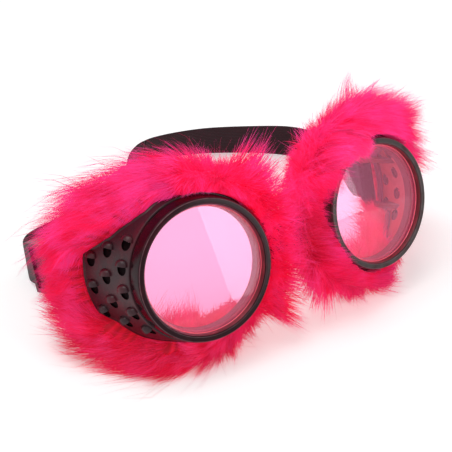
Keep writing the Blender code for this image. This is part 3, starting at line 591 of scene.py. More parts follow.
def vent_hoods(side):
    """Hoods as vents x sections x corners x 3: half an ellipse with a wall, drawn up to a closed tip.

    Each section's size is the cosine of how far up it lies, to the power 0.7, and its place is the sine.
    """
    point, out, down, back = (part[:, None, None] for part in vent_frames(side))
    turn = np.linspace(0, math.pi, 13)
    x = np.concatenate([[HOOD_R], HOOD_R * np.cos(turn), [-HOOD_R]])
    y = np.concatenate([[-HOOD_FOOT], HOOD_HEIGHT * np.sin(turn), [-HOOD_FOOT]])
    thin = 1 - HOOD_WALL / HOOD_R
    x = np.concatenate([x, x[::-1] * thin])[None, None, :, None]
    inner = np.where(y > 0, y * (1 - HOOD_WALL / HOOD_HEIGHT), y)
    y = np.concatenate([y, inner[::-1]])[None, None, :, None]
    climb = np.radians(np.linspace(0, 85, 9))[None, :, None, None]
    size = np.cos(climb) ** 0.7
    place = point + down * (HOOD_LIP - HOOD_LENGTH * np.sin(climb))
    return place + back * x * size + out * np.where(y > 0, y * size, y)


def vent_rods(side, radius, drop, first, last):
    """Cutters for every vent: round rods square to the wall, between two heights over its outer face."""
    point, out, down, back = (part[:, None, None] for part in vent_frames(side))
    turn = (np.arange(30) * math.tau / 30)[None, None, :, None]
    reach = np.array([first, last])[None, :, None, None]
    return point + down * drop + out * reach + radius * (down * np.cos(turn) + back * np.sin(turn))


def plate(outline, low, high):
    """A flat outline of (across, depth) pairs raised from low to high, with its edges eased."""
    outline = np.array(outline)
    centre = outline.mean(axis=0)
    size = np.linalg.norm(outline - centre, axis=1, keepdims=True)
    eased = centre + (outline - centre) * (1 - PLATE_RIM / size)
    rows = ((eased, low), (outline, low + PLATE_RIM), (outline, high - PLATE_RIM), (eased, high))
    return np.stack([np.column_stack([flat, np.full(len(flat), z)]) for flat, z in rows])[None]


def inside_wall(depth, height, sink):
    """How far across the wall's inner face lies at a depth and height, with some sink into it."""
    return math.sqrt((inner_radius(depth) + sink) ** 2 - height ** 2)


def lug_end(across, depth, first, last):
    """The round end of a lug, half a turn round its bar."""
    turn = np.linspace(first, last, 13)
    return [(across + LUG_ROUND * math.cos(a), depth + LUG_ROUND * math.sin(a)) for a in turn]


def temple_lug(side, low, high):
    """The arm inside the cup that carries one end of the strap bar."""
    farthest = max(abs(low), abs(high))
    front, back = TEMPLE_LUG_ROOT
    reach = inside_wall(back, farthest, LUG_SINK)
    outline = [(inside_wall(front, farthest, LUG_SINK), front), (reach, back),
               (reach - TEMPLE_LUG_INSET, back + TEMPLE_LUG_STEP)]
    outline += lug_end(TEMPLE_BAR_ACROSS, TEMPLE_BAR_DEPTH, 0, math.pi)
    return plate([(side * x, y) for x, y in outline], low, high)


def nose_lug(side, low, high):
    """The plate on the cup's nose side that carries one end of the nose bar."""
    nearest = min(abs(low), abs(high))
    ends = (NOSE_BAR_DEPTH + LUG_ROUND, NOSE_BAR_DEPTH - LUG_ROUND)
    outline = [(inside_wall(depth, nearest, NOSE_LUG_SINK), depth) for depth in ends]
    outline += lug_end(NOSE_BAR_ACROSS, NOSE_BAR_DEPTH, -math.pi / 2, math.pi / 2)
    return plate([(-side * x, y) for x, y in outline], low, high)


def bar(across, depth, low, high):
    """An upright round bar."""
    turn = np.arange(24) * math.tau / 24
    ring = np.stack([across + BAR_R * np.cos(turn), depth + BAR_R * np.sin(turn)], axis=-1)
    return np.stack([np.column_stack([ring, np.full(24, z)]) for z in (low, high)])[None]


def cup_wall(word):
    """Collar, flange and flared wall as one closed surface round the lens axis.

    The collar's radius rises by the thread, where the depth less the turn is near a whole pitch. The wall
    is a cone from the flange to the rear edge, whose depth changes with the angle, with a raised lip there.
    """
    side = SIDES[word]
    angle = CUP_TURN
    same = np.ones_like(angle)
    edge = rear_edge(angle)
    collar = np.linspace(COLLAR_FRONT + 0.1 * MM, FLANGE_FRONT, 22)[None] * same
    turn = (collar - THREAD_FROM) / THREAD_PITCH - side * angle / 360
    off = (turn - np.round(turn)) * THREAD_PITCH
    ridge = np.clip((0.55 * MM - np.abs(off)) / (0.3 * MM), 0, 1)
    ridge = ridge * np.clip((collar - off - THREAD_FROM) / (0.1 * MM) + 1, 0, 1)
    ridge = ridge * np.clip((THREAD_TO - collar + off) / (0.1 * MM) + 1, 0, 1)
    share = np.linspace(0, 1, 32)[None]
    outer = FLANGE_FRONT + 0.35 * MM + (edge - FLANGE_FRONT - 0.85 * MM) * share
    lip = 0.25 * MM * smoothstep(1.5 * MM, 0.7 * MM, edge - outer)
    inner = edge - 0.5 * MM + (FLANGE_BACK - edge + 0.5 * MM) * share
    rows = (
        (COLLAR_R + THREAD_HEIGHT * ridge, collar),
        ((FLANGE_R - 0.3 * MM) * same, FLANGE_FRONT * same),
        ((FLANGE_R - 0.05 * MM) * same, (FLANGE_FRONT + 0.1 * MM) * same),
        (inner_radius(outer) + CUP_WALL_ACROSS + lip, outer),
        (inner_radius(edge) + CUP_WALL_ACROSS + 0.05 * MM, edge - 0.12 * MM),
        (inner_radius(edge) + CUP_WALL_ACROSS - 0.4 * MM, edge),
        (inner_radius(edge) + 0.4 * MM, edge),
        (inner_radius(inner), inner),
        (SEAT_R * same, FLANGE_BACK * same),
        (SEAT_R * same, SEAT_DEPTH * same),
        (RECESS_R * same, SEAT_DEPTH * same),
        (RECESS_R * same, (COLLAR_FRONT + 0.2 * MM) * same),
        ((RECESS_R + 0.2 * MM) * same, COLLAR_FRONT * same),
        ((COLLAR_R - 0.1 * MM) * same, COLLAR_FRONT * same),
    )
    radius = np.concatenate([row[0] for row in rows], axis=1)
    depth = np.concatenate([row[1] for row in rows], axis=1)
    points = from_eye(word, polar(side, radius, angle, depth))
    quads = grid_faces(*radius.shape, True, True)
    return make_piece(word + "_cup_shell", points, quads, material("moulded_cup"))


def carve(body, steps):
    """Cuts and joins closed shapes on a body, in order, and removes the shapes."""
    for number, (operation, tool) in enumerate(steps):
        step = body.modifiers.new(f"step_{number}", "BOOLEAN")
        step.operation = operation
        step.solver = "MANIFOLD"
        step.object = tool
    evaluated = body.evaluated_get(bpy.context.evaluated_depsgraph_get())
    finished = bpy.data.meshes.new_from_object(evaluated)
    body.modifiers.clear()
    body.data = finished
    for operation, tool in steps:
        bpy.data.objects.remove(tool)


def make_cup(word):
    """The cup: its wall, cut by the vents, joined to hoods, lugs and bars; a face's look goes by place."""
    side = SIDES[word]
    cup = cup_wall(word)
    half = STRAP_WIDTH / 2 + SEWN_GAP
    low, high = TEMPLE_BAR_HEIGHT - half, TEMPLE_BAR_HEIGHT + half
    nose = BRIDGE_WIDTH / 2 + SEWN_GAP
    cut = {
        "vent_pits": vent_rods(side, PIT_R, PIT_DROP, -PIT_FLOOR, VENT_REACH),
        "vent_dimples": vent_rods(side, PIT_R, PIT_DROP, -VENT_REACH, -DIMPLE_FLOOR),
        "vent_holes": vent_rods(side, HOLE_R, HOLE_DROP, -VENT_REACH, VENT_REACH),
    }
    joined = {
        "vent_hoods": vent_hoods(side),
        "temple_lug_top": temple_lug(side, high, high + LUG),
        "temple_lug_low": temple_lug(side, low - LUG, low),
        "nose_lug_top": nose_lug(side, nose, nose + LUG),
        "nose_lug_low": nose_lug(side, -nose - LUG, -nose),
        "temple_bar": bar(side * TEMPLE_BAR_ACROSS, TEMPLE_BAR_DEPTH, low - LUG / 2, high + LUG / 2),
        "nose_bar": bar(-side * NOSE_BAR_ACROSS, NOSE_BAR_DEPTH, -nose - LUG / 2, nose + LUG / 2),
    }
    steps = [("DIFFERENCE", shapes(name, points, word)) for name, points in cut.items()]
    steps += [("UNION", shapes(name, points, word)) for name, points in joined.items()]
    carve(cup, steps)
    mesh = cup.data
    mesh.materials.clear()
    for name in CUP_LOOKS:
        mesh.materials.append(material(name))
    x, depth, z = face_places(mesh, word).T
    radius = np.hypot(x, z)
    above = radius - inner_radius(depth)
    on_wall = depth > FLANGE_BACK
    edge = rear_edge(np.degrees(np.arctan2(side * x, z)))
    within = on_wall & (depth < edge - 1.0 * MM)
    index = np.full(len(depth), OUTSIDE, np.int32)
    # Painted light on the inner faces
    index[on_wall & (above < INSIDE_SKIN)] = INSIDE_PAINTED_LIGHT
    # Painted shade on lugs and bars inside the wall
    index[on_wall & (above < -0.4 * MM)] = LUG_PAINTED_SHADE
    # Painted shade in the bore behind the lens
    index[(depth > COLLAR_FRONT + 0.5 * MM) & (radius < RECESS_R + 0.3 * MM)] = DIMPLE_PAINTED_SHADE
    # Painted highlight along the rear edge
    index[on_wall & (depth > edge - 0.3 * MM) & (above > 0.6 * MM)] = EDGE_PAINTED_HIGHLIGHT
    # Painted shade in the vents' inner dimples
    index[within & (above >= INSIDE_SKIN) & (above < DIMPLE_TOP)] = DIMPLE_PAINTED_SHADE
    # Painted shade: the vent pits are near black
    index[within & (above >= DIMPLE_TOP) & (above < CUP_WALL_ACROSS - 0.1 * MM)] = PIT_PAINTED_SHADE
    mesh.polygons.foreach_set("material_index", index)
    mesh.shade_smooth()
    mesh.set_sharp_from_angle(angle=math.radians(33))
    even = cup.modifiers.new("even_shading", "WEIGHTED_NORMAL")
    even.keep_sharp = True
    return cup


# Materials


def fill(tree, node, **inputs):
    """Gives sockets a value or a link; _ stands for a space in their names, and i0 for the first socket."""
    for key, value in inputs.items():
        socket = node.inputs[int(key[1:]) if key[1:].isdigit() else key.replace("_", " ")]
        if isinstance(value, bpy.types.NodeSocket):
            tree.links.new(value, socket)
        else:
            socket.default_value = value


def add(tree, kind, settings=None, **inputs):
    """A node with its settings and its sockets' values and links."""
    made = tree.nodes.new(kind)
    for key, value in (settings or {}).items():
        setattr(made, key, value)
    fill(tree, made, **inputs)
    return made


def reckon(tree, operation, a, b=0.0, c=0.0):
    return add(tree, "ShaderNodeMath", {"operation": operation}, i0=a, i1=b, i2=c).outputs[0]


def sine_size(tree, value, turn=math.pi):
    """The size, without its sign, of the sine of value times turn."""
    return reckon(tree, "ABSOLUTE", reckon(tree, "SINE", reckon(tree, "MULTIPLY", value, turn)))


def ranged(tree, value, low, high, to_low=0.0, to_high=1.0, kind="LINEAR"):
    """How far a value lies from low to high, as a number from to_low to to_high."""
    made = add(tree, "ShaderNodeMapRange", {"interpolation_type": kind}, Value=value, From_Min=low,
               From_Max=high, To_Min=to_low, To_Max=to_high)
    return made.outputs[0]


def noise(tree, place, scale, detail=2.0, **more):
    return add(tree, "ShaderNodeTexNoise", Vector=place, Scale=scale, Detail=detail, **more).outputs[0]


def mixed(tree, share, a, b, blend="MIX"):
    made = add(tree, "ShaderNodeMix", {"data_type": "RGBA", "blend_type": blend}, i0=share, i6=a, i7=b)
    return made.outputs[2]


def tinted(tree, colour, tint):
    return mixed(tree, 1.0, colour, tint, "MULTIPLY")


def ramp(tree, share, stops):
    made = add(tree, "ShaderNodeValToRGB", i0=share)
    points = made.color_ramp.elements
    while len(points) < len(stops):
        points.new(0.5)
    for point, (place, colour) in zip(points, stops):
        point.position = place
        point.color = opaque(colour)
    return made.outputs[0]


def distance_from(tree, place, centre, scale):
    """Length of the way from centre to place, whose three parts are first multiplied by scale."""
    way = add(tree, "ShaderNodeVectorMath", {"operation": "SUBTRACT"}, i0=place, i1=centre).outputs[0]
    way = add(tree, "ShaderNodeVectorMath", {"operation": "MULTIPLY"}, i0=way, i1=scale).outputs[0]
    return add(tree, "ShaderNodeVectorMath", {"operation": "LENGTH"}, i0=way).outputs["Value"]


def object_place(tree):
    return add(tree, "ShaderNodeTexCoord").outputs["Object"]


def run_parts(tree):
    """The two numbers of a piece's own UV map."""
    uv = add(tree, "ShaderNodeUVMap", {"uv_map": "run"}).outputs[0]
    return add(tree, "ShaderNodeSeparateXYZ", Vector=uv).outputs[:2]


def opaque(colour):
    return (*colour[:3], 1)


def shared_effect(tree, name, effect, sockets):
    """A node of the group of that name, made when first asked for; effect gives its three outputs."""
    group = bpy.data.node_groups.get(name)
    if group is None:
        group = bpy.data.node_groups.new(name, "ShaderNodeTree")
        for key, value in sockets.items():
            kind = "Color" if isinstance(value, tuple) else "Float"
            group.interface.new_socket(key, in_out="INPUT", socket_type="NodeSocket" + kind)
        for label, kind in (("Colour", "Color"), ("Roughness", "Float"), ("Height", "Float")):
            group.interface.new_socket(label, in_out="OUTPUT", socket_type="NodeSocket" + kind)
        colour, roughness, height = effect(group, group.nodes.new("NodeGroupInput").outputs)
        fill(group, group.nodes.new("NodeGroupOutput"), Colour=colour, Roughness=roughness, Height=height)
    return add(tree, "ShaderNodeGroup", {"node_tree": group}, **sockets)


def moulded_effect(group, given):
    """Moulded plastic: a cloudy tint from slow noise, fine dust specks, and a faint orange-peel height."""
    place = object_place(group)
    cloud = ranged(group, noise(group, place, 110.0, 3.0, Roughness=0.55), 0.48, 0.68)
    speck = ranged(group, noise(group, place, 1900.0), 0.66, 0.74)
    dusty = reckon(group, "MULTIPLY", speck, given["Dust"])
    colour = mixed(group, dusty, mixed(group, cloud, given["Colour"], given["Glow"]), DUST)
    peel = noise(group, place, 700.0)
    rough = reckon(group, "MULTIPLY_ADD", peel, 0.12, given["Roughness"])
    return colour, reckon(group, "MULTIPLY_ADD", dusty, 0.4, rough), peel


def moulded(tree, colour, glow, roughness, dust):
    return shared_effect(tree, "moulded plastic", moulded_effect, {
        "Colour": opaque(colour), "Glow": opaque(glow), "Roughness": roughness, "Dust": dust})


def woven_effect(group, given):
    """Woven elastic: ribs along the band from a sine across it, crossed by picks from a sine along it."""
    across, along = run_parts(group)
    across = reckon(group, "MULTIPLY", across, given["Ribs"])
    step = reckon(group, "DIVIDE", along, given["Pick"])
    shifted = reckon(group, "MULTIPLY_ADD", reckon(group, "FLOOR", across), 0.5, step)
    pick = reckon(group, "MULTIPLY_ADD", sine_size(group, shifted), 0.6, 0.4)
    height = reckon(group, "MULTIPLY", reckon(group, "POWER", sine_size(group, across), 0.5), pick)
    fuzz = noise(group, object_place(group), 2600.0)
    share = reckon(group, "MULTIPLY", height, reckon(group, "MULTIPLY_ADD", fuzz, 1.2, 0.2))
    colour = mixed(group, share, given["Dark"], given["Light"])
    return colour, reckon(group, "MULTIPLY_ADD", fuzz, -0.2, 0.8), height


def dress(tree, shader, effect, strength, depth, colour=None, **values):
    """Gives a shader an effect's colour or another one, its roughness and relief, and plain values."""
    relief = add(tree, "ShaderNodeBump", Strength=strength, Distance=depth, Height=effect.outputs["Height"])
    fill(tree, shader, Base_Color=effect.outputs["Colour"] if colour is None else colour,
         Roughness=effect.outputs["Roughness"], Normal=relief.outputs[0], **values)


def moulded_look(name, tree, shader, looks):
    """A moulded surface from its row of the table; the insides' bright colour is painted light through the
    lenses, under a coat.
    """
    key, share, glow_key, glow_share, roughness, dust, strength, depth, specular = MOULDED[name]
    colour = np.array(getattr(looks, key)) * share
    glow = np.array(getattr(looks, glow_key)) * glow_share
    effect = moulded(tree, colour, glow, roughness, dust)
    dress(tree, shader, effect, strength, depth, Specular_IOR_Level=specular)
    if name == "moulded_cup_inside_painted_light":
        fill(tree, shader, Coat_Weight=0.4, Coat_Roughness=0.25)
    return colour


def ring_look(name, tree, shader, looks):
    """Ring plastic with a painted highlight in patches on its corners, marked in the UV's u; the left is
    paler: a painted reflection.
    """
    # The left ring's paler colour is a painted reflection
    colour = looks.ring if name.startswith("right") else looks.left_ring_painted_reflection
    effect = moulded(tree, colour, np.array(looks.moulding_glow) * 0.5, 0.08, 0.05)
    # Painted highlight: the rings' corners are paler in patches of noise
    patch = reckon(tree, "MULTIPLY", noise(tree, object_place(tree), 420.0, 3.0), 1.1)
    painted_light = reckon(tree, "MULTIPLY", run_parts(tree)[0], patch)
    with_highlight = mixed(tree, painted_light, effect.outputs["Colour"], opaque(looks.ring_painted_highlight))
    dress(tree, shader, effect, 0.15, 0.00005, with_highlight, Specular_IOR_Level=0.10)
    return colour


def painted_light_share(tree):
    """Where painted light lies on the strap: on faces turned inwards beside the left cup, in tangles of
    noise.
    """
    where = add(tree, "ShaderNodeTexCoord").outputs
    x, y = add(tree, "ShaderNodeSeparateXYZ", Vector=where["Object"]).outputs[:2]
    facing = add(tree, "ShaderNodeSeparateXYZ", Vector=where["Normal"]).outputs[0]
    beside = reckon(tree, "MULTIPLY", ranged(tree, x, *STRAP_LIGHT_ACROSS), ranged(tree, y, *STRAP_LIGHT_BACK))
    beside = reckon(tree, "MULTIPLY", beside, ranged(tree, facing, *STRAP_LIGHT_FACING))
    tangle = reckon(tree, "MULTIPLY_ADD", noise(tree, where["Object"], 500.0, 4.0), 0.6, 0.5)
    return reckon(tree, "MULTIPLY", beside, tangle)


def woven_look(name, tree, shader, looks):
    """Woven elastic or knit; the strap also has painted light on its inner face."""
    key, dark, ribs, pick, strength, depth, sheen, sheen_roughness = WOVEN[name]
    light = getattr(looks, key)
    effect = shared_effect(tree, "woven elastic", woven_effect, {
        "Dark": opaque(np.array(light) * dark), "Light": opaque(light), "Ribs": ribs, "Pick": pick})
    colour = effect.outputs["Colour"]
    if name == "woven_strap":
        # Painted light: the strap is paler on its inner face beside the left cup
        colour = mixed(tree, painted_light_share(tree), colour, opaque(looks.strap_painted_light))
    dress(tree, shader, effect, strength, depth, colour, Specular_IOR_Level=0.2, Sheen_Weight=sheen,
          Sheen_Roughness=sheen_roughness)
    return light


def thread_look(name, tree, shader, looks):
    """Twisted thread: strands from a sine that runs round the thread and along it."""
    across, along = run_parts(tree)
    strand = sine_size(tree, reckon(tree, "MULTIPLY_ADD", along, 9.0, across), math.tau)
    relief = add(tree, "ShaderNodeBump", Strength=0.8, Distance=0.0001, Height=strand).outputs[0]
    colour = mixed(tree, strand, opaque(np.array(looks.thread) * 0.4), opaque(looks.thread))
    fill(tree, shader, Base_Color=colour, Normal=relief, Roughness=0.55, Sheen_Weight=0.3)
    return looks.thread


def lens_look(name, tree, shader, looks):
    """Tinted clear plastic; its shadow is the tint itself, so light passes through to what is behind."""
    smear = noise(tree, object_place(tree), 60.0, Distortion=0.6)
    tint = mixed(tree, smear, opaque(looks.lens), opaque(np.array(looks.lens) * (1.0, 0.94, 0.97)))
    # The lens's emission is a painted glow in the colour of its dye
    fill(tree, shader, Base_Color=tint, Roughness=0.0, IOR=looks.lens_ior,
         Transmission_Weight=looks.lens_clear, Emission_Color=opaque(looks.lens_painted_glow_colour),
         Emission_Strength=looks.lens_painted_glow)
    passing = add(tree, "ShaderNodeBsdfTransparent", Color=opaque(looks.lens_shadow)).outputs[0]
    is_shadow = add(tree, "ShaderNodeLightPath").outputs["Is Shadow Ray"]
    both = add(tree, "ShaderNodeMixShader", i0=is_shadow, i1=shader.outputs[0], i2=passing)
    fill(tree, tree.nodes["Material Output"], Surface=both.outputs[0])
    return looks.lens


def lens_edge_look(name, tree, shader, looks):
    """The bright edge of the tinted plastic: a painted glow, for light gathered in the lens that comes out
    there.
    """
    gather = noise(tree, object_place(tree), 90.0)
    colour = mixed(tree, gather, opaque(np.array(looks.lens_edge) * 0.6), opaque(looks.lens_edge))
    fill(tree, shader, Base_Color=colour, Emission_Color=colour, Emission_Strength=0.22, Roughness=0.15,
         Coat_Weight=0.5)
    return looks.lens_edge


def fur_look(name, tree, shader, looks):
    """Dyed pile: each hair runs from a deep root to a paler tip, in slow patches of redder and pinker dye.

    The UV's v is the share of the hair's length and u its own random number. Painted shade darkens the
    fur near the floor and in the nose gap, and it pales at the top.
    """
    guard = name == "dyed_guard_hair"
    strength = GUARD_HAIR_STRENGTH if guard else 1.0
    own, along = run_parts(tree)
    base, deep, tip = (np.array(colour) for colour in (looks.fur, looks.fur_deep, looks.fur_tip))
    pink = ramp(tree, along, ((0.0, deep), (0.35, base), (0.75, base * 0.35 + tip * 0.65), (1.0, tip)))
    red = ramp(tree, along, ((0.0, deep * 0.85), (0.45, deep * 0.5 + base * 0.5), (0.85, base),
                             (1.0, base * 0.5 + tip * 0.5)))
    place = object_place(tree)
    patch = reckon(tree, "SUBTRACT", noise(tree, place, 75.0, Roughness=0.5), 0.08)
    patch = reckon(tree, "MULTIPLY_ADD", own, 0.16, patch)
    pile_colour = mixed(tree, ranged(tree, patch, 0.40, 0.60), red, pink)
    x, _, height = add(tree, "ShaderNodeSeparateXYZ", Vector=place).outputs
    # Painted shade: darker towards the floor
    pile_colour = tinted(tree, pile_colour, mixed(tree, ranged(tree, height, *FUR_FLOOR_SHADE), FUR_NEAR_FLOOR_PAINTED_SHADE, WHITE))
    from_gap = distance_from(tree, place, tuple(NOSE_SHADE), NOSE_SHADE_SCALE)
    gap = ranged(tree, from_gap, *FUR_GAP_SHADE, 1.0, 0.0, "SMOOTHSTEP")
    # Painted shade in the nose gap between the cups
    pile_colour = mixed(tree, gap, pile_colour, tinted(tree, pile_colour, FUR_IN_GAP_PAINTED_SHADE))
    crown = ranged(tree, height, *FUR_CROWN, 0.0, 0.36)
    pale = reckon(tree, "ADD", crown, ranged(tree, x, 0.0, 0.02, 0.0, 0.16))
    spread = ranged(tree, own, 0.0, 1.0, 0.66 * strength, 1.10 * strength)
    grey = add(tree, "ShaderNodeCombineColor", i0=spread, i1=spread, i2=spread).outputs[0]
    colour = tinted(tree, mixed(tree, pale, pile_colour, opaque(tip)), grey)
    # The emission is a painted glow, standing for light scattered through the hair
    fill(tree, shader, Base_Color=colour, Emission_Color=tinted(tree, colour, FUR_PAINTED_GLOW_TINT),
         Emission_Strength=GUARD_HAIR_PAINTED_GLOW if guard else looks.fur_painted_glow, Roughness=0.5,
         Specular_IOR_Level=0.15, Sheen_Weight=0.15, Sheen_Tint=FUR_SHEEN_TINT)
    return base


def seen(tree):
    """1 for the rays that show a surface to the camera: straight, through a lens or in a reflection."""
    path = add(tree, "ShaderNodeLightPath").outputs
    direct = reckon(tree, "MAXIMUM", path["Is Camera Ray"], path["Is Transmission Ray"])
    return reckon(tree, "MAXIMUM", direct, path["Is Glossy Ray"])


def floor_look(name, tree, shader, looks):
    """A pale matt floor, lifted where it is seen, and more so far from the goggles."""
    far = add(tree, "ShaderNodeVectorMath", {"operation": "LENGTH"}, i0=object_place(tree)).outputs["Value"]
    lift = reckon(tree, "MULTIPLY", seen(tree), ranged(tree, far, *FLOOR_FAR, *FLOOR_LIFT))
    fill(tree, shader, Base_Color=FLOOR_COLOUR, Roughness=0.9, Specular_IOR_Level=0.0,
         Emission_Color=WHITE, Emission_Strength=lift)
    return WHITE


LOOK_MAKERS = {
    **dict.fromkeys(MOULDED, moulded_look),
    **dict.fromkeys(WOVEN, woven_look),
    **dict.fromkeys(("right_screw_ring_plastic", "left_screw_ring_plastic"), ring_look),
    **dict.fromkeys(("dyed_pile", "dyed_guard_hair"), fur_look),
    "sewing_thread": thread_look,
    "tinted_lens": lens_look,
    "lens_edge": lens_edge_look,
    "pale_floor": floor_look,
}


def material(name):
    """The material of that name, made when first asked for."""
    made = bpy.data.materials.get(name)
    if made is None:
        made = bpy.data.materials.new(name)
        made.use_nodes = True
        tree = made.node_tree
        shown = LOOK_MAKERS[name](name, tree, tree.nodes["Principled BSDF"], bpy.context.scene.goggles_looks)
        made.diffuse_color = opaque(shown)
    return made


# Fur


def fur_place(side, angle, share, forward=0.0, over=0.6):
    """A point of the pile's outer form: share 0 to 1 runs from its front root over the top to its rear root.

    Out and back from the rear edge are the section's shape times the pile's length and thickness there.
    The part before the share over is combed forward over the cup, by less the further back it is.
    """
    knots = np.linspace(0, 1, len(SECTION_OUT))
    edge = rear_edge(angle)
    length = by_angle(angle, FUR_ANGLE, FUR_LENGTH) * MM
    thick = by_angle(angle, FUR_ANGLE, FUR_THICKNESS) * MM
    bulge = FUR_BULGE * np.cos(np.radians(angle)) ** 2
    out = np.interp(share, knots, SECTION_OUT) * length
    back = np.interp(share, knots, SECTION_BACK) * (thick - FUR_START)
    lean = np.interp(share, knots, SECTION_LEAN) * bulge
    combed = forward * np.clip(1 - share / over, 0, 1)
    return polar(side, inner_radius(edge) + out, angle, edge + FUR_START + back - lean - combed)


def fur_root(side, angle, share):
    """A point on the band's outer face, from just behind the cup's edge back along the band."""
    depth = rear_edge(angle) + FUR_START + share * (BAND_REACH - FUR_START)
    return polar(side, inner_radius(depth), angle, depth)


def fur_facing(side, angle, share):
    """The pile's outward direction: the cross product of its form's two slopes, turned away from its core."""
    slope_angle = fur_place(side, angle + 1, share) - fur_place(side, angle - 1, share)
    slope_share = fur_place(side, angle, share + 0.03) - fur_place(side, angle, share - 0.03)
    facing = unit(np.cross(slope_angle, slope_share))
    core = (fur_place(side, angle, 0.2) + fur_place(side, angle, 0.8)) / 2
    away = fur_place(side, angle, share) - core
    return facing * np.sign(np.sum(facing * away, axis=-1, keepdims=True) + 1e-9)


def lay_on_floor(points, clearance):
    """Hair that would pass below the floor lies along it instead; returns how far each point had sunk."""
    low = clearance + 0.5 * MM
    sunk = np.maximum(low - points[..., 2], 0)
    points[..., 2] = np.maximum(points[..., 2], clearance + 0.5 * MM * np.exp(-sunk / (3 * MM)))
    return sunk


def tuft_centres(rng, tufts, span, shares):
    """Angles and shares of tufts, spread evenly at random over a span of angles and a range of shares."""
    first, last = span
    angle = first + (np.arange(tufts) + rng.random(tufts)) * ((last - first) / tufts)
    rng.shuffle(angle)
    share = shares[0] + (shares[1] - shares[0]) * (np.arange(tufts) + rng.random(tufts)) / tufts
    return angle, share


def combed_by(angle, share, table, rng, stray):
    """How far round the cup a tuft is combed, in degrees: a table by angle, slow sines and its own stray."""
    waves = 5 * np.sin(np.radians(angle * 5) + 1.3) + 4 * np.sin(np.radians(angle * 11) + share * 7)
    return by_angle(angle, *table) + waves + rng.normal(0, stray, len(angle))


def hairs_of(rng, angle, per_tuft, stray):
    """A dye value for each tuft, then each hair's tuft and its own angle."""
    dye = rng.random(len(angle))
    pick = np.repeat(np.arange(len(angle)), per_tuft)
    return dye, pick, angle[pick] + rng.normal(0, stray, len(pick))


def hair_curve(root, middle, tip):
    """Quadratic curves from root to tip as strands x stations x 3, and each strand's straight length."""
    path = arc(root[:, None], middle[:, None], tip[:, None], HAIR_STATIONS)
    return path, np.linalg.norm(tip - root, axis=-1)[:, None, None]


def grown(word, path, facing, width, rng, jitter=0.45):
    """Flat ribbons of hair along world paths of strands x stations x 3, facing a way with some jitter.

    What would pass through the floor lies along it, pushed outwards by a share of how far it had sunk.
    """
    count = len(path)
    clearance = (0.3 + 1.2 * rng.random((count, 1))) * MM
    sunk = lay_on_floor(path, clearance)
    away = path - EYES[word][0]
    away[..., 2] = 0
    path += unit(away) * np.minimum(sunk, 12 * MM)[..., None] * 0.55
    tangent = unit(np.gradient(path, axis=1))
    turned_to = unit(facing[:, None] + rng.normal(0, jitter, (count, 1, 3)))
    across = unit(np.cross(tangent, turned_to))
    half = across * HAIR_TAPER[None, :, None] * (width * rng.uniform(0.7, 1.3, (count, 1, 1))) / 2
    ribbons = np.stack([path - half, path + half], axis=2)
    return np.clip(ribbons, -HAIR_LIMIT * (1, 1, 0) + HAIR_FLOOR, HAIR_LIMIT)


def dye_of(rng, dye, pick):
    """A dye value for each hair, mostly its tuft's."""
    return dye[pick] * DYE_OF_TUFT + rng.random(len(pick)) * DYE_OF_HAIR


def front_of(word):
    return -EYES[word][1][1:2]


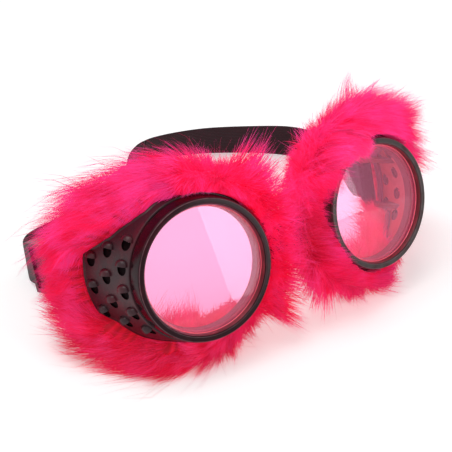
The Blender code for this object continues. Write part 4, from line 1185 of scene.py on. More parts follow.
def pile(word, rng, tufts, per_tuft, span, shares, reach, forward, width, curl, clump, stray=3.0, trim=None):
    """Ribbons of hair in tufts, from the band to the pile's outer form, and a dye value for each.

    Each hair is a quadratic curve that starts square to the band. A tuft's tips are drawn together by
    clump, and a slow sine bends the whole tuft sideways by curl times its length. Where the pile isn't
    combed forward, every point is kept behind the cup's rear edge, and in front of it outside the ring.
    """
    side = SIDES[word]
    t = HAIR_STATIONS
    angle, share = tuft_centres(rng, tufts, span, shares)
    over = COMB_OVER[word]
    combed = combed_by(angle, share, COMB_ROUND[word], rng, stray)
    lean = by_angle(angle, *forward) * MM * rng.uniform(0.75, 1.1, tufts)
    tuft_reach = rng.uniform(*reach, tufts) * by_angle(angle, *COMB_REACH[word])
    if trim:
        tuft_reach = tuft_reach * by_angle(angle, *trim)
    phase = rng.random(tufts) * math.tau
    dye, pick, own_angle = hairs_of(rng, angle, per_tuft, HAIR_ANGLE_STRAY)
    count = len(pick)
    own_share = np.clip(share[pick] + rng.normal(0, HAIR_TIP_STRAY, count), 0.0, 0.99)
    root = fur_root(side, own_angle, np.clip(own_share + rng.normal(0, HAIR_ROOT_STRAY, count), 0, 1))
    tuft_tip = fur_place(side, angle + combed, share, lean, over)[pick]
    own_combed = own_angle + combed[pick]
    strayed = own_combed + rng.normal(0, HAIR_COMB_STRAY, count)
    own_tip = fur_place(side, strayed, own_share, lean[pick], over)
    tip = tuft_tip * clump + own_tip * (1 - clump)
    tip = root + (tip - root) * (tuft_reach[pick] * rng.normal(1.0, HAIR_LENGTH_STRAY, count))[:, None]
    radial = unit(np.stack([root[:, 0], np.full(count, 0.002), root[:, 2]], axis=-1))
    middle = root + radial * np.linalg.norm(tip - root, axis=-1)[:, None] * HAIR_RISE
    path, along = hair_curve(root, middle, tip)
    facing = fur_facing(side, own_combed, np.clip(own_share, 0.05, 0.95))
    sideways = unit(np.cross(unit(tip - root), facing))[:, None]
    wave = np.sin(phase[pick][:, None, None] + t * 3.2) * t ** 1.5
    stray_wave = rng.normal(0, 1, (count, 1, 1)) * t ** 2
    path = path + sideways * along * (wave + 0.4 * stray_wave) * curl
    path = path + facing[:, None] * along * rng.normal(0, HAIR_BEND, (count, 1, 1)) * t ** 2
    here = np.degrees(np.arctan2(side * path[..., 0], path[..., 2]))
    free = np.maximum(by_angle(here, *forward), 0) * 2 * MM
    behind = rear_edge(here) + rng.uniform(0.3, 1.8, (count, 1)) * MM
    path[..., 1] = np.maximum(path[..., 1], behind - free)
    radius = np.hypot(path[..., 0], path[..., 2])
    clear = np.maximum(radius, RING_CLEAR_R + rng.uniform(0, 0.8, (count, 1)) * MM)
    path[..., (0, 2)] *= (np.where(path[..., 1] < RING_CLEAR_DEPTH, clear, radius) / radius)[..., None]
    world = from_eye(word, path)
    world[..., 2] -= (along * HAIR_SAG * t ** 2)[..., 0]
    return grown(word, world, facing @ EYES[word][1], width, rng), dye_of(rng, dye, pick)


def fringe(word, rng, tufts, per_tuft, span, inward, width, shape=((0, 360), (1, 1))):
    """Hair that curls inwards behind the lens: it leaves the band's rear edge and bends towards the axis.

    Each hair is a quadratic curve; its tip lies inward of its root by a length times the shape there.
    """
    side = SIDES[word]
    angle, share = tuft_centres(rng, tufts, span, (0.0, 1.0))
    bent = rng.normal(0, FRINGE_BEND, tufts)
    deep = rng.uniform(*inward, tufts) * np.interp(angle, *shape)
    back = rng.uniform(*FRINGE_BACK, tufts) * MM
    dye, pick, own_angle = hairs_of(rng, angle, per_tuft, 1.8)
    depth = rear_edge(own_angle) + (1 + 5 * share[pick]) * MM
    base = inner_radius(depth) - BAND_THICKNESS - SEWN_GAP
    fall = deep[pick] * rng.uniform(*FRINGE_FALL, len(pick))
    path, along = hair_curve(
        polar(side, base, own_angle, depth),
        polar(side, base - fall * 0.35, own_angle, depth + 3 * MM + back[pick] * 0.6),
        polar(side, base - fall, own_angle * 0.5 + angle[pick] * 0.5 + bent[pick], depth + back[pick]))
    drift = rng.normal(0, 1, (len(pick), 1, 3)) * FRINGE_DRIFT
    world = from_eye(word, path + drift * along * HAIR_STATIONS ** 2)
    return grown(word, world, front_of(word), width, rng, 0.7), dye_of(rng, dye, pick)


def nose_fill(word, rng, tufts, per_tuft, width):
    """Hair on the nose side that is combed forward and across, over the elastic loop.

    Each hair is a quadratic curve from the cup's flank to a tip near the middle, in front of the loop.
    """
    side = SIDES[word]
    angle, share = tuft_centres(rng, tufts, NOSE_SPAN, (0.0, 1.0))
    across = rng.uniform(*NOSE_REACH, tufts) * MM
    wave = np.sin(np.radians(angle * 6)) * NOSE_RISE_WAVE * MM
    rise = rng.normal(0, NOSE_RISE_STRAY, tufts) * MM + wave
    front = rng.uniform(*NOSE_FRONT, tufts) * MM
    dye, pick, own_angle = hairs_of(rng, angle, per_tuft, 2.0)
    count = len(pick)
    depth = np.interp(share[pick], (0, 1), NOSE_ROOT_DEPTHS)
    radius = inner_radius(depth) + CUP_WALL_ACROSS + 0.1 * MM
    root = polar(side, radius, own_angle, depth)
    reach = across[pick] * rng.uniform(*NOSE_HAIR_REACH, count)
    turn = np.radians(own_angle)
    lift = np.cos(turn) * reach * NOSE_LIFT + rise[pick] + rng.normal(0, NOSE_HAIR_STRAY, count) * MM
    forward = front[pick] - depth
    outward = np.stack([side * radius * np.sin(turn), 0 * radius, radius * np.cos(turn)], axis=-1)
    middle = root + outward * NOSE_SWELL
    middle = middle + np.stack([-side * reach * 0.3, forward * 0.25, lift * 0.1], axis=-1)
    path, along = hair_curve(root, middle, root + np.stack([-side * reach, forward, lift], axis=-1))
    path = path + rng.normal(0, 1, (count, 1, 3)) * 0.06 * along * HAIR_STATIONS ** 2
    facing = front_of(word) + 0.5 * UP
    return grown(word, from_eye(word, path), facing, width, rng), dye_of(rng, dye, pick)


def forelock(word, rng, tufts, per_tuft, span, width):
    """Hair that falls over the ring's face: a quadratic curve from behind the ring, over its rim, to a tip.

    The tips lie further in the nearer their angle comes to the top of the ring, except at the very end.
    """
    side = SIDES[word]
    angle, share = tuft_centres(rng, tufts, span, (0.0, 1.0))
    far = (angle - span[0]) / (span[1] - span[0])
    inward = far * np.clip((1.08 - far) / 0.25, 0, 1)
    tip_radius = (LOCK_TIP_R - LOCK_TIP_INWARD * inward * rng.uniform(0.2, 1.1, tufts)) * MM
    lift = rng.uniform(*LOCK_LIFT, tufts) * MM
    dye, pick, own_angle = hairs_of(rng, angle, per_tuft, 1.6)
    count = len(pick)
    root = polar(side, LOCK_ROOT_R + LOCK_ROOT_SPREAD * share[pick], own_angle - LOCK_ROOT_TURN,
                 LOCK_ROOT_DEPTH - LOCK_ROOT_RISE * share[pick])
    middle = polar(side, LOCK_MIDDLE_R + LOCK_MIDDLE_SPREAD * share[pick], own_angle - LOCK_MIDDLE_TURN,
                   -LOCK_MIDDLE_FRONT - lift[pick])
    tip_angle = angle[pick] * 0.6 + own_angle * 0.4 + LOCK_TIP_TURN
    tip = polar(side, tip_radius[pick] * rng.normal(1, 0.03, count), tip_angle,
                -LOCK_TIP_FRONT - lift[pick] * 0.7)
    path, along = hair_curve(root, middle, tip)
    path = path + rng.normal(0, 1, (count, 1, 3)) * (0.05, 0.02, 0.05) * along * HAIR_STATIONS ** 2
    return grown(word, from_eye(word, path), front_of(word), width, rng), dye_of(rng, dye, pick)


def crest(word, rng, points, hairs, width):
    """One raised lock: hairs from a patch of roots, drawn together along a quadratic curve to one tip."""
    t = HAIR_STATIONS
    root, middle, tip = (np.array(point)[None, None] for point in points)
    drift = rng.normal(0, 1, (hairs, 1, 3)) * CREST_SPREAD * MM
    path = arc(root, middle, tip, t)
    reach = rng.uniform(*CREST_REACH, (hairs, 1, 1))
    path = root + (path - root) * (1 - t * (1 - reach)) + drift * (1 - CREST_DRAWN * t * reach)
    path = path + np.sin(t * 5 + rng.uniform(0, 1, (hairs, 1, 1))) * CREST_WAVE
    return grown(word, from_eye(word, path), front_of(word), width, rng), rng.random(hairs)


def strand_piece(name, hair, look):
    """One mesh of many ribbons, each a grid of stations x 2, with its dye value and length share as UV."""
    ribbons, dye = hair
    count, stations = ribbons.shape[:2]
    one = grid_faces(stations, 2)
    quads = (np.arange(count)[:, None, None] * stations * 2 + one[None]).reshape(-1, 4)
    along = np.linspace(0, 1, stations)[None, :, None]
    uv = pair(dye[:, None, None], along).repeat(2, axis=2)
    return make_piece(name, ribbons, quads, look, uv=uv, outward=False)


def undercoat(word, look):
    """The dense inner pile: the outer form drawn in to a share of its size, roughened by sines."""
    side = SIDES[word]
    angle = CUP_TURN
    share = np.linspace(0.0, 1.0, 28)[None]
    rough = 1 + 0.06 * np.sin(np.radians(angle * 17) + share * 9)
    rough = rough + 0.05 * np.sin(np.radians(angle * 41) - share * 23)
    root = fur_root(side, angle, share)
    points = root + (fur_place(side, angle, share) - root) * UNDERCOAT_SHARE * rough[..., None]
    world = from_eye(word, points)
    world[..., 2] = np.maximum(world[..., 2], UNDERCOAT_FLOOR)
    uv = pair(0.5 + 0.5 * np.sin(angle * 3), 0.12 + 0.1 * np.sin(share * 40))
    return make_piece(word + "_fur_undercoat", world, grid_faces(*rough.shape, True, True), look, uv=uv)


def skirt(word, look):
    """Matted pile between the fur's front and the ring: a thin collar whose front edge follows the combing.

    It lies just outside the cup's wall and the ring, and its edge is made ragged by sines.
    """
    angle = SKIRT_TURN
    edge = rear_edge(angle)
    reach = by_angle(angle, *COVER_FORWARD[word]) * MM
    full = reach / SKIRT_FULL
    ragged = 0.5 * np.sin(np.radians(angle * 37)) + 0.4 * np.sin(np.radians(angle * 71) + 2)
    front = edge - np.maximum(reach - 3.0 * MM + ragged * MM * np.clip(full, 0, 1), -0.7 * MM)
    share = np.array([0, 0.33, 0.66, 1.0, 1.0, 0.66, 0.33, 0])[None]
    raised = np.array([0.1, 0.6, 0.9, 1.0, 0, 0, 0, 0])[None] * MM * np.clip(full, 0.05, 1)
    depth = front + (edge + 1.0 * MM - front) * share
    radius = np.maximum(inner_radius(depth) + CUP_WALL_ACROSS + 0.2 * MM, FLANGE_R + 0.15 * MM) + raised
    points = from_eye(word, polar(SIDES[word], radius, angle, depth))
    points[..., 2] = np.maximum(points[..., 2], SKIRT_FLOOR)
    uv = pair(0.4 + 0.3 * np.sin(angle * 3), 0.3 - 0.1 * share)
    return make_piece(word + "_fur_skirt", points, grid_faces(*depth.shape, True, True), look, uv=uv)


# Strap


def bar_place(side):
    """The temple bar's place across and back from the middle of the rings, in the pitched plane."""
    cos, sin = math.cos(EYE_WRAP), math.sin(EYE_WRAP)
    across = EYE_HALF_SPACING + TEMPLE_BAR_ACROSS * cos - TEMPLE_BAR_DEPTH * sin
    back = TEMPLE_BAR_DEPTH * cos + TEMPLE_BAR_ACROSS * sin
    return np.array([side * across, back])


def strap_point(side, along, inward):
    """A point of the strap's straight run: along from the temple bar, inward from the outer ply's middle."""
    run = np.array([side * math.sin(STRAP_FLARE), math.cos(STRAP_FLARE)])
    out = np.array([side * math.cos(STRAP_FLARE), -math.sin(STRAP_FLARE)])
    x, y = bar_place(side) + run * along + out * (BAR_LOOP_R - inward)
    return (x, y, TEMPLE_BAR_HEIGHT)


def loop_round(side, along, middle, radius, first, last):
    """Points on an arc round a bar; 90 degrees is the outer ply's side."""
    turn = np.radians(np.linspace(first, last, 11))
    return [strap_point(side, along + radius * math.cos(a), middle - radius * math.sin(a)) for a in turn]


def smooth_rows(rows):
    """A Catmull-Rom curve through rows of numbers, from the second row to the last but one."""
    rows = np.array(rows)
    t = (np.arange(ROUTE_STEPS) / ROUTE_STEPS)[None, :, None]
    a, b, c, d = (rows[i:len(rows) - 3 + i, None] for i in range(4))
    square = 2 * a - 5 * b + 4 * c - d
    cube = 3 * b - a - 3 * c + d
    out = 0.5 * (2 * b + (c - a) * t + square * t ** 2 + cube * t ** 3)
    return np.concatenate([out.reshape(-1, rows.shape[1]), rows[-2:-1]])


def band_piece(name, points, width_way, width, thickness, look):
    """A band of rounded-box section carried along a path, its wide side along width_way at each point.

    The section is a superellipse of the half width and half thickness; UV runs across it and along it.
    """
    along = unit(np.gradient(points, axis=0))
    way = unit(width_way - along * np.sum(width_way * along, axis=-1, keepdims=True))
    face = np.cross(along, way)
    turn = np.arange(BAND_CORNERS) * (math.tau / BAND_CORNERS) + math.tau / (2 * BAND_CORNERS)
    u = np.sign(np.cos(turn)) * np.abs(np.cos(turn)) ** 0.35
    v = np.sign(np.sin(turn)) * np.abs(np.sin(turn)) ** 0.3
    sideways = way[:, None] * (u * width / 2)[None, :, None]
    ring = points[:, None] + sideways + face[:, None] * (v * thickness / 2)[None, :, None]
    run = np.concatenate([[0], np.cumsum(np.linalg.norm(np.diff(points, axis=0), axis=1))])
    uv = pair((u[None] + 1) / 2, run[:, None])
    rows = len(points)
    corner = np.arange(BAND_CORNERS)
    caps = (corner, (rows - 1) * BAND_CORNERS + corner[::-1])
    return make_piece(name, ring, grid_faces(rows, BAND_CORNERS, wrap_cols=True), look, uv=uv, caps=caps)


def straight_rows(flat):
    """World rows of place and width direction for points given in the pitched plane."""
    places = from_pitched(np.array(flat))
    return np.column_stack([places, np.tile(UP, (len(places), 1))])


def route_rows():
    """World rows of place and width direction of the strap's free part, standing on its edge."""
    x, y, lean_x, lean_y, lift = np.array(STRAP_ROUTE).T
    upright = 1 / np.sqrt(1 + lean_x ** 2 + lean_y ** 2)
    way = np.column_stack([lean_x, lean_y, np.ones(len(x))])
    place = np.column_stack([MIDDLE[0] + x * MM, MIDDLE[1] + y * MM, STRAP_WIDTH / 2 * upright + lift * MM])
    return np.column_stack([place, way])


def strap_rows():
    """The strap's three stretches: the sewn return ply, the near half and the far half."""
    inner = SLIDER_BAR_IN + SLIDER_LOOP_R
    sewn = [strap_point(-1, along, inner - PLY_STEP) for along in LAP]
    sewn += loop_round(-1, SLIDER_STATION, SLIDER_BAR_IN, SLIDER_LOOP_R, 90, -90)
    sewn += [strap_point(-1, a * MM, inner) for a in (30, 20, 10)]
    sewn += [strap_point(-1, 0, 2 * BAR_LOOP_R)]
    near = loop_round(-1, 0, BAR_LOOP_R, BAR_LOOP_R, 270, 90)
    near += [strap_point(-1, share * SLIDER_STATION, 0) for share in (0.25, 0.6, 1)]
    near += [strap_point(-1, SLIDER_STATION + SLIDER_HALF + a * MM, 0) for a in (0.3, 2.5)]
    near = straight_rows(near)
    far = [strap_point(1, TEMPLE_LAP[1] + 3.4 * MM, 0), strap_point(1, TEMPLE_LAP[0], 0)]
    far += loop_round(1, 0, BAR_LOOP_R, BAR_LOOP_R, 90, 270)
    far += [strap_point(1, 3.8 * MM, 3.7 * MM)]
    far += [strap_point(1, along, PLY_STEP) for along in TEMPLE_LAP]
    far = straight_rows(far)
    free = route_rows()
    half = len(STRAP_ROUTE) // 2
    first = smooth_rows(np.concatenate([near[-2:], free[:half + 2]]))
    second = smooth_rows(np.concatenate([free[half - 1:], far[:2]]))
    return straight_rows(sewn), np.concatenate([near[:-1], first]), np.concatenate([second, far[1:]])


def sewn_box(name, centre, out, run, high):
    """A box of separate stitches on a band: each is a spindle whose radius is the root of a parabola."""
    corners = np.array([(-1, -1), (1, -1), (1, 1), (-1, 1), (-1, -1)]) * (STITCH_BOX / 2, high / 2)
    points, quads, uvs = [], [], []
    t = np.linspace(0, 1, 7)[:, None]
    turn = (np.arange(6) * math.tau / 6)[None]
    bulge = 4 * t * (1 - t)
    swell = np.sqrt(np.maximum(bulge, 0.02)) * 0.21 * MM
    rise = 0.25 * np.sqrt(np.maximum(bulge, 0)) * MM
    for start, end in zip(corners[:-1], corners[1:]):
        count = max(1, round(np.linalg.norm(end - start) / STITCH_LENGTH))
        for k in range(count):
            a = start + (end - start) * (k + 0.06) / count
            b = start + (end - start) * (k + 0.94) / count
            flat = a + (b - a) * t
            way = unit(b - a)
            side_way = run * -way[1] + UP * way[0]
            line = centre + flat[:, :1] * run + flat[:, 1:] * UP + out * (rise - 0.1 * MM)
            ring = line[:, None] + side_way * (swell * np.cos(turn))[..., None]
            ring = ring + out * (swell * np.sin(turn))[..., None]
            quads.append(grid_faces(7, 6, wrap_cols=True, first=len(points) * 42))
            points.append(ring.reshape(-1, 3))
            uvs.append(pair(turn / math.tau, t).reshape(-1, 2))
    uv = np.concatenate(uvs)
    return make_piece(name, np.concatenate(points), np.concatenate(quads), material("sewing_thread"), uv=uv)


def slider_copy():
    """A merged copy of the slider's solid, shaded smooth between its sharp edges, which get a small round."""
    mesh = frame["nodes"]["strap_slider"].data.copy()
    mesh.name = "slider_moulding"
    work = bmesh.new()
    work.from_mesh(mesh)
    bmesh.ops.remove_doubles(work, verts=work.verts, dist=2e-6)
    bmesh.ops.dissolve_limit(work, angle_limit=math.radians(0.5), verts=work.verts, edges=work.edges)
    work.to_mesh(mesh)
    work.free()
    made = new_object("slider_moulding", mesh, material("moulded_cup"))
    mesh.shade_smooth()
    mesh.set_sharp_from_angle(angle=SLIDER_SHARP)
    rounding = made.modifiers.new("rounding", "BEVEL")
    rounding.width = SLIDER_ROUND
    rounding.segments = 2
    rounding.limit_method = "ANGLE"
    rounding.angle_limit = SLIDER_SHARP
    rounding.harden_normals = True
    return made


# What a user can change


def count_property(name, description, default):
    return bpy.props.IntProperty(name=name, description=description, default=default, min=1)


def length_property(name, description, default):
    return bpy.props.FloatProperty(name=name, description=description, default=default, unit="LENGTH")


def share_property(name, description, default):
    return bpy.props.FloatProperty(name=name, description=description, default=default, min=0, max=1,
                                   subtype="FACTOR")


def colour_property(name, description, default):
    return bpy.props.FloatVectorProperty(name=name, description=description, default=default, subtype="COLOR",
                                         size=3, min=0, max=1)


class GogglesSizes(bpy.types.PropertyGroup):
    tufts: count_property("Tufts", "Tufts in each layer of the pile", 950)
    hairs: count_property("Hairs", "Hairs in one tuft", 19)
    guard_tufts: count_property("Guard tufts", "Wisps of longer hair", 420)
    hair_width: length_property("Hair width", "Width of one hair of the pile", 0.24 * MM)
    ring_round: length_property("Ring rounding", "Rounding of the screw ring's edges", 0.45 * MM)
    lens_bead: length_property("Lens bead", "Radius of the lens's glowing edge", 0.20 * MM)


class GogglesLooks(bpy.types.PropertyGroup):
    moulding: colour_property("Cups", "Colour of the moulded cups", (0.034, 0.009, 0.014))
    moulding_glow: colour_property("Glow", "Red that the dark plastic lets through", (0.075, 0.006, 0.014))
    # Painted light: a bright colour for the cups' inner faces, as if lit through the lenses; the dimples and
    # lugs take darker shares of it as painted shade
    inside: colour_property("Cup insides", "Colour of the cups' inner faces", (0.80, 0.20, 0.12))
    ring: colour_property("Rings", "Colour of the screw rings", (0.018, 0.003, 0.006))
    # Painted reflection: the left ring is the same plastic, coloured paler
    left_ring_painted_reflection: colour_property("Left ring", "Colour of the left screw ring, which is rubbed all over",
                               (0.060, 0.048, 0.048))
    # Painted glow on the rings' inner walls beside the lens
    ring_inner_painted_glow: colour_property("Ring inner walls", "Colour beside the lens's bright edge",
                                (0.16, 0.014, 0.022))
    # Painted highlight on the rings' corners and the cups' rear edges
    ring_painted_highlight: colour_property("Worn edges", "Colour of the rings' rubbed corners", (0.22, 0.10, 0.12))
    elastic: colour_property("Elastic", "Colour of the woven strap", (0.056, 0.023, 0.030))
    # Painted light: the paler colour on the strap's inner face beside the left cup
    strap_painted_light: colour_property("Lint", "Colour of the pile lint on the strap's inner face", (0.30, 0.13, 0.17))
    rubber: colour_property("Gaskets", "Colour of the gaskets behind the lenses", (0.36, 0.10, 0.09))
    knit: colour_property("Knit", "Colour of the fur's backing", (0.60, 0.05, 0.13))
    thread: colour_property("Thread", "Colour of the sewing thread", (0.045, 0.036, 0.042))
    lens: colour_property("Lens", "Tint of the lenses", (1.0, 0.50, 0.78))
    lens_shadow: colour_property("Lens shadow", "Tint of the light that a lens lets through",
                                 (1.0, 0.72, 0.86))
    # Painted glow: the colour that the lens gives out as emission
    lens_painted_glow_colour: colour_property("Lens dye", "Light that the lens's fluorescent dye gives back",
                              (1.0, 0.10, 0.20))
    # Painted glow: colour of the bright bead round each lens
    lens_edge: colour_property("Lens edge", "Bright edge of the lenses", (0.95, 0.10, 0.16))
    fur: colour_property("Fur", "Main colour of the pile", (0.98, 0.012, 0.125))
    fur_deep: colour_property("Fur roots", "Colour deep in the pile", (0.78, 0.005, 0.030))
    fur_tip: colour_property("Fur tips", "Colour of the pile's tips", (1.0, 0.075, 0.42))
    lens_ior: bpy.props.FloatProperty(name="Lens IOR", description="Refractive index of the lens",
                                      default=1.31)
    lens_clear: share_property("Lens clarity", "Share of light that isn't scattered", 0.96)
    # Strength of the lens's painted glow
    lens_painted_glow: share_property("Lens glow", "Strength of the dye's light", 0.06)
    # Painted glow of the fur, standing for light scattered through the hair
    fur_painted_glow: share_property("Fur glow", "Light that the fluorescent dye gives back", 0.265)


# Operators


def aimed(name, data, place, way):
    """A lamp or camera at a place, looking a way."""
    made = bpy.data.objects.new(name, data)
    made.location = place
    made.rotation_mode = "QUATERNION"
    made.rotation_quaternion = Vector(way).to_track_quat("-Z", "Y")
    bpy.context.scene.collection.objects.link(made)
    return made


class PieceOperator:
    bl_options = {"REGISTER", "UNDO"}


class GOGGLES_OT_rings(PieceOperator, bpy.types.Operator):
    """Make both screw rings: a turned ring with a dished face, an inner lip and a rounded rim"""
    bl_idname = "goggles.rings"
    bl_label = "Screw rings"

    def execute(self, context):
        outline, edge = rounded(RING_PROFILE, context.scene.goggles_sizes.ring_round)
        for word in SIDES:
            look = material(word + "_screw_ring_plastic")
            ring = turned(word, word + "_ring_fine", outline, look, 240, 60, edge)
            # The inner wall beside the lens gets a painted glow
            ring.data.materials.append(material("screw_ring_inner_wall_painted_glow"))
            x, depth, z = face_places(ring.data, word).T
            inner = (np.hypot(x, z) < RING_INNER_R) & (depth < RING_INNER_DEPTH)
            ring.data.polygons.foreach_set("material_index", inner.astype(np.int32))
            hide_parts(word + "_screw_ring")
            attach(ring, word + "_ring")
        return {"FINISHED"}


class GOGGLES_OT_lenses(PieceOperator, bpy.types.Operator):
    """Make both lenses and the bright bead round each lens's front edge"""
    bl_idname = "goggles.lenses"
    bl_label = "Lenses"

    def execute(self, context):
        bead_r = context.scene.goggles_sizes.lens_bead
        inset = LENS_R - LENS_EASE
        radius = np.array([inset, LENS_R, LENS_R, inset])[:, None]
        depth = np.array([LENS_FRONT, LENS_FRONT + LENS_EASE, LENS_BACK - LENS_EASE, LENS_BACK])[:, None]
        count = LENS_TURN.size
        caps = (np.arange(count), 3 * count + np.arange(count)[::-1])
        quads = grid_faces(4, count, wrap_cols=True)
        turn = np.linspace(0, math.tau, 10, endpoint=False)
        section = [(BEAD_ACROSS + bead_r * math.cos(a), BEAD_DEPTH + bead_r * math.sin(a)) for a in turn]
        for word, side in SIDES.items():
            points = from_eye(word, polar(side, radius, LENS_TURN, depth))
            lens = make_piece(word + "_lens_clear", points, quads, material("tinted_lens"), caps=caps)
            lens.data.set_sharp_from_angle(angle=math.radians(20))
            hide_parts(word + "_lens")
            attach(lens, word + "_lens_seat")
            # The bead gives out a painted glow
            bead = turned(word, word + "_lens_edge_bead", section, material("lens_edge"), 180, 80)
            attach(bead, word + "_lens_seat")
        return {"FINISHED"}


class GOGGLES_OT_cups(PieceOperator, bpy.types.Operator):
    """Make both eyecups with their hooded vents, lugs and bars, and dress their gaskets"""
    bl_idname = "goggles.cups"
    bl_label = "Eyecups"

    def execute(self, context):
        for word in SIDES:
            cup = make_cup(word)
            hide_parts(word + "_eyecup")
            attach(cup, word + "_eyepiece")
            gasket = frame["nodes"][word + "_gasket"]
            gasket.data.materials.clear()
            gasket.data.materials.append(material("gasket_rubber"))
        return {"FINISHED"}


class GOGGLES_OT_backing(PieceOperator, bpy.types.Operator):
    """Make the knitted bands that carry the fur, inside the cups' rear edges"""
    bl_idname = "goggles.backing"
    bl_label = "Knitted backing"

    def execute(self, context):
        edge = rear_edge(CUP_TURN)
        across = np.array([0, 0.25, 0.5, 0.75, 1.0, 1.0, 0.75, 0.5, 0.25, 0])[None]
        inset = np.array([0, 0, 0, 0, 0, 1, 1, 1, 1, 1])[None] * BAND_THICKNESS + SEWN_GAP
        reach = by_angle(CUP_TURN, BAND_SHOWN_ANGLE, BAND_SHOWN) * MM
        depth = edge - BAND_TUCK + across * (BAND_TUCK + reach)
        uv = pair(across, np.radians(CUP_TURN) * 30 * MM)
        for word, side in SIDES.items():
            points = from_eye(word, polar(side, inner_radius(depth) - inset, CUP_TURN, depth))
            quads = grid_faces(*depth.shape, True, True)
            band = make_piece(word + "_knit_band", points, quads, material("knitted_backing"), uv=uv)
            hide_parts(word + "_fur_backing")
            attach(band, word + "_eyepiece")
        return {"FINISHED"}


class GOGGLES_OT_fur(PieceOperator, bpy.types.Operator):
    """Grow the fur trims: an undercoat, the pile in tufts, a fringe inside the band and longer wisps"""
    bl_idname = "goggles.fur"
    bl_label = "Fur trims"

    def execute(self, context):
        sizes = context.scene.goggles_sizes
        wide = sizes.hair_width
        guard = sizes.guard_tufts
        look = material("dyed_pile")
        fine = material("dyed_guard_hair")
        for number, word in enumerate(SIDES):
            rng = np.random.default_rng(71 + number)
            forward = COMB_FORWARD[word]
            pieces = [undercoat(word, look), skirt(word, look)]
            dense = (word, rng, sizes.tufts, sizes.hairs)
            for label, (shares, reach) in LAYERS.items():
                trim = BACK_TRIM if (word, label) == ("right", "back") else None
                hair = pile(*dense, ALL_ROUND, shares, reach, forward, wide, curl=0.13, clump=0.72,
                            trim=trim)
                pieces.append(strand_piece(f"{word}_fur_{label}", hair, look))
            hair = pile(*dense, COVER_SPAN, COVER_SHARES, COVER_REACH, COVER_FORWARD[word], wide,
                        curl=0.08, clump=0.45)
            pieces.append(strand_piece(word + "_fur_cover", hair, look))
            hair = pile(word, rng, guard, 5, ALL_ROUND, WISP_SHARES, WISP_LENGTHS, forward, wide * 0.6,
                        curl=0.3, clump=0.4, stray=8.0, trim=WISP_REACH[word])
            pieces.append(strand_piece(word + "_fur_wisps", hair, fine))
            hair = fringe(word, rng, guard, 9, FRINGE_SPAN[word], FRINGE_INWARD[word], wide * 0.8,
                          FRINGE_SHAPE[word])
            pieces.append(strand_piece(word + "_fur_fringe", hair, look))
            hair = fringe(word, rng, guard // 6, 5, FINE_TIP_SPAN, FINE_TIP_INWARD, wide * 0.5)
            pieces.append(strand_piece(word + "_fur_fine_tips", hair, fine))
            hair = fringe(word, rng, guard, 7, FUZZ_SPAN, FUZZ_INWARD, wide)
            pieces.append(strand_piece(word + "_fur_inner_fuzz", hair, look))
            pieces.append(strand_piece(word + "_fur_nose", nose_fill(word, rng, guard, 12, wide), look))
            if word == "left":
                for index, points in enumerate(CREST):
                    lock = crest(word, rng, points, CREST_HAIRS, wide * 0.7)
                    pieces.append(strand_piece(f"left_fur_crest_{index + 1}", lock, look))
                hair = forelock(word, rng, LOCK_TUFTS, LOCK_HAIRS, FORELOCK_SPAN, wide)
                lock = strand_piece("left_fur_forelock", hair, look)
                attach(lock, "left_lens_seat")
            for piece in pieces:
                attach(piece, word + "_eyepiece")
            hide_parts(word + "_fur_trim")
        return {"FINISHED"}


class GOGGLES_OT_nose_loop(PieceOperator, bpy.types.Operator):
    """Make the elastic loop round both nose bars, with the box stitch that closes it"""
    bl_idname = "goggles.nose_loop"
    bl_label = "Nose loop"

    def execute(self, context):
        right = np.array(joint("right_cup_swing")["pos_m"])
        left = np.array(joint("left_cup_swing")["pos_m"])
        radius = BAR_R + SEWN_GAP + BRIDGE_THICKNESS / 2
        points = []
        for centre, first in ((left, -90), (right, 90)):
            turn = np.radians(np.linspace(first, first + 180, 15))[:, None]
            points.append(centre + ACROSS * radius * np.cos(turn) + BACK * radius * np.sin(turn))
        around = np.concatenate([*points, points[0][:1]])
        way = np.tile(UP, (len(around), 1))
        look = material("woven_nose_loop")
        loop = band_piece("nose_loop", around, way, BRIDGE_WIDTH, BRIDGE_THICKNESS, look)
        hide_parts("nose_bridge")
        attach(loop, "bridge")
        centre = (left + right) / 2 + BACK * (radius + BRIDGE_THICKNESS / 2 + STITCH_GAP)
        sewn = sewn_box("nose_loop_stitches", centre, BACK, ACROSS, STITCH_BOX)
        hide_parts("bridge_stitching")
        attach(sewn, "bridge")
        return {"FINISHED"}


class GOGGLES_OT_strap(PieceOperator, bpy.types.Operator):
    """Make the woven head strap in three stretches: the sewn return ply, the near half and the far half"""
    bl_idname = "goggles.strap"
    bl_label = "Head strap"

    def execute(self, context):
        look = material("woven_strap")
        made = []
        for name, rows in zip(("strap_sewn_return", "strap_near_half", "strap_far_half"), strap_rows()):
            made.append(band_piece(name, rows[:, :3], rows[:, 3:], STRAP_WIDTH, STRAP_THICKNESS, look))
        sewn, near, far = made
        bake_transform(sewn)
        rows = route_rows()
        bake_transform(near)
        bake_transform(far)
        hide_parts("head_strap")
        return {"FINISHED"}


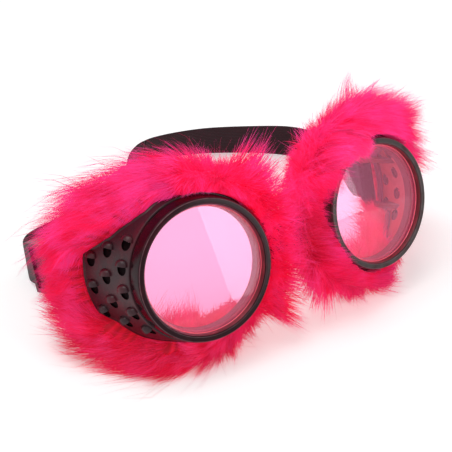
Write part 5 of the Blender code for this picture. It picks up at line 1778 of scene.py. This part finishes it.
class GOGGLES_OT_slider(PieceOperator, bpy.types.Operator):
    """Make the moulded strap slider and the two box stitches of the strap's ends"""
    bl_idname = "goggles.slider"
    bl_label = "Slider and stitching"

    def execute(self, context):
        slider = slider_copy()
        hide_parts("strap_slider")
        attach(slider, "strap_slider")
        face = STRAP_THICKNESS / 2 + STITCH_GAP
        inner = SLIDER_BAR_IN + SLIDER_LOOP_R + face
        ends = (
            ("slider_stitches", -1, sum(LAP) / 2, inner, "strap_slider", "slider_stitching"),
            ("temple_stitches", 1, sum(TEMPLE_LAP) / 2, PLY_STEP + face, "left_eyepiece", "temple_stitching"),
        )
        for name, side, along, inward, body, node in ends:
            centre = from_pitched(strap_point(side, along, inward))
            start = from_pitched(strap_point(side, 0, 0))
            run = from_pitched(strap_point(side, 1, 0)) - start
            out = from_pitched(strap_point(side, 0, 1)) - start
            sewn = sewn_box(name, centre, out, run, SLIDER_BOX_HEIGHT)
            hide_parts(node)
            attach(sewn, body)
        return {"FINISHED"}


class GOGGLES_OT_stage(PieceOperator, bpy.types.Operator):
    """Set the pale floor, the soft light and the camera at the photograph's view"""
    bl_idname = "goggles.stage"
    bl_label = "Stage"

    def execute(self, context):
        scene = context.scene
        scene.view_settings.view_transform = "Standard"
        far = FLOOR_HALF
        points = [(-far, -far, 0), (far, -far, 0), (far, far, 0), (-far, far, 0)]
        floor = make_piece("floor", points, [(0, 1, 2, 3)], material("pale_floor"), outward=False)
        world = bpy.data.worlds.new("pale_surroundings")
        world.use_nodes = True
        tree = world.node_tree
        level = reckon(tree, "MULTIPLY_ADD", seen(tree), SURROUNDINGS_SEEN, SURROUNDINGS_LIGHT)
        fill(tree, tree.nodes["Background"], Color=WHITE, Strength=level)
        scene.world = world
        for name, place, wide, high, power in LAMPS:
            lamp = bpy.data.lights.new(name, "AREA")
            lamp.shape = "RECTANGLE"
            lamp.size = wide
            lamp.size_y = high
            lamp.energy = power
            aimed(name, lamp, place, MIDDLE - np.array(place))
        level_way = (-math.sin(CAMERA_AZIMUTH), math.cos(CAMERA_AZIMUTH))
        ahead = [part * math.cos(CAMERA_ELEVATION) for part in level_way] + [-math.sin(CAMERA_ELEVATION)]
        data = bpy.data.cameras.new("photo_view")
        data.sensor_width = SENSOR_WIDTH
        data.lens = SENSOR_WIDTH * FOCAL_PIXELS / PHOTO_PIXELS
        scene.camera = aimed("photo_view", data, MIDDLE + CAMERA_PLACE, ahead)
        return {"FINISHED"}


class GOGGLES_PT_panel(bpy.types.Panel):
    """Lists the goggles' pieces in the sidebar"""
    bl_idname = "GOGGLES_PT_panel"
    bl_label = "Party goggles"
    bl_space_type = "VIEW_3D"
    bl_region_type = "UI"
    bl_category = "Goggles"

    def draw(self, context):
        for operator in OPERATORS:
            self.layout.operator(operator.bl_idname)
        for group in (context.scene.goggles_sizes, context.scene.goggles_looks):
            for key in group.__annotations__:
                self.layout.prop(group, key)


OPERATORS = (GOGGLES_OT_stage, GOGGLES_OT_rings, GOGGLES_OT_lenses, GOGGLES_OT_cups, GOGGLES_OT_backing,
             GOGGLES_OT_fur, GOGGLES_OT_nose_loop, GOGGLES_OT_strap, GOGGLES_OT_slider)
CLASSES = (GogglesSizes, GogglesLooks, *OPERATORS, GOGGLES_PT_panel)


def register():
    for kind in CLASSES:
        bpy.utils.register_class(kind)
    bpy.types.Scene.goggles_sizes = bpy.props.PointerProperty(type=GogglesSizes)
    bpy.types.Scene.goggles_looks = bpy.props.PointerProperty(type=GogglesLooks)


def unregister():
    del bpy.types.Scene.goggles_looks
    del bpy.types.Scene.goggles_sizes
    for kind in reversed(CLASSES):
        bpy.utils.unregister_class(kind)


def main():
    register()
    for operator in OPERATORS:
        group, name = operator.bl_idname.split(".")
        getattr(getattr(bpy.ops, group), name)()


if __name__ == "__main__":
    main()
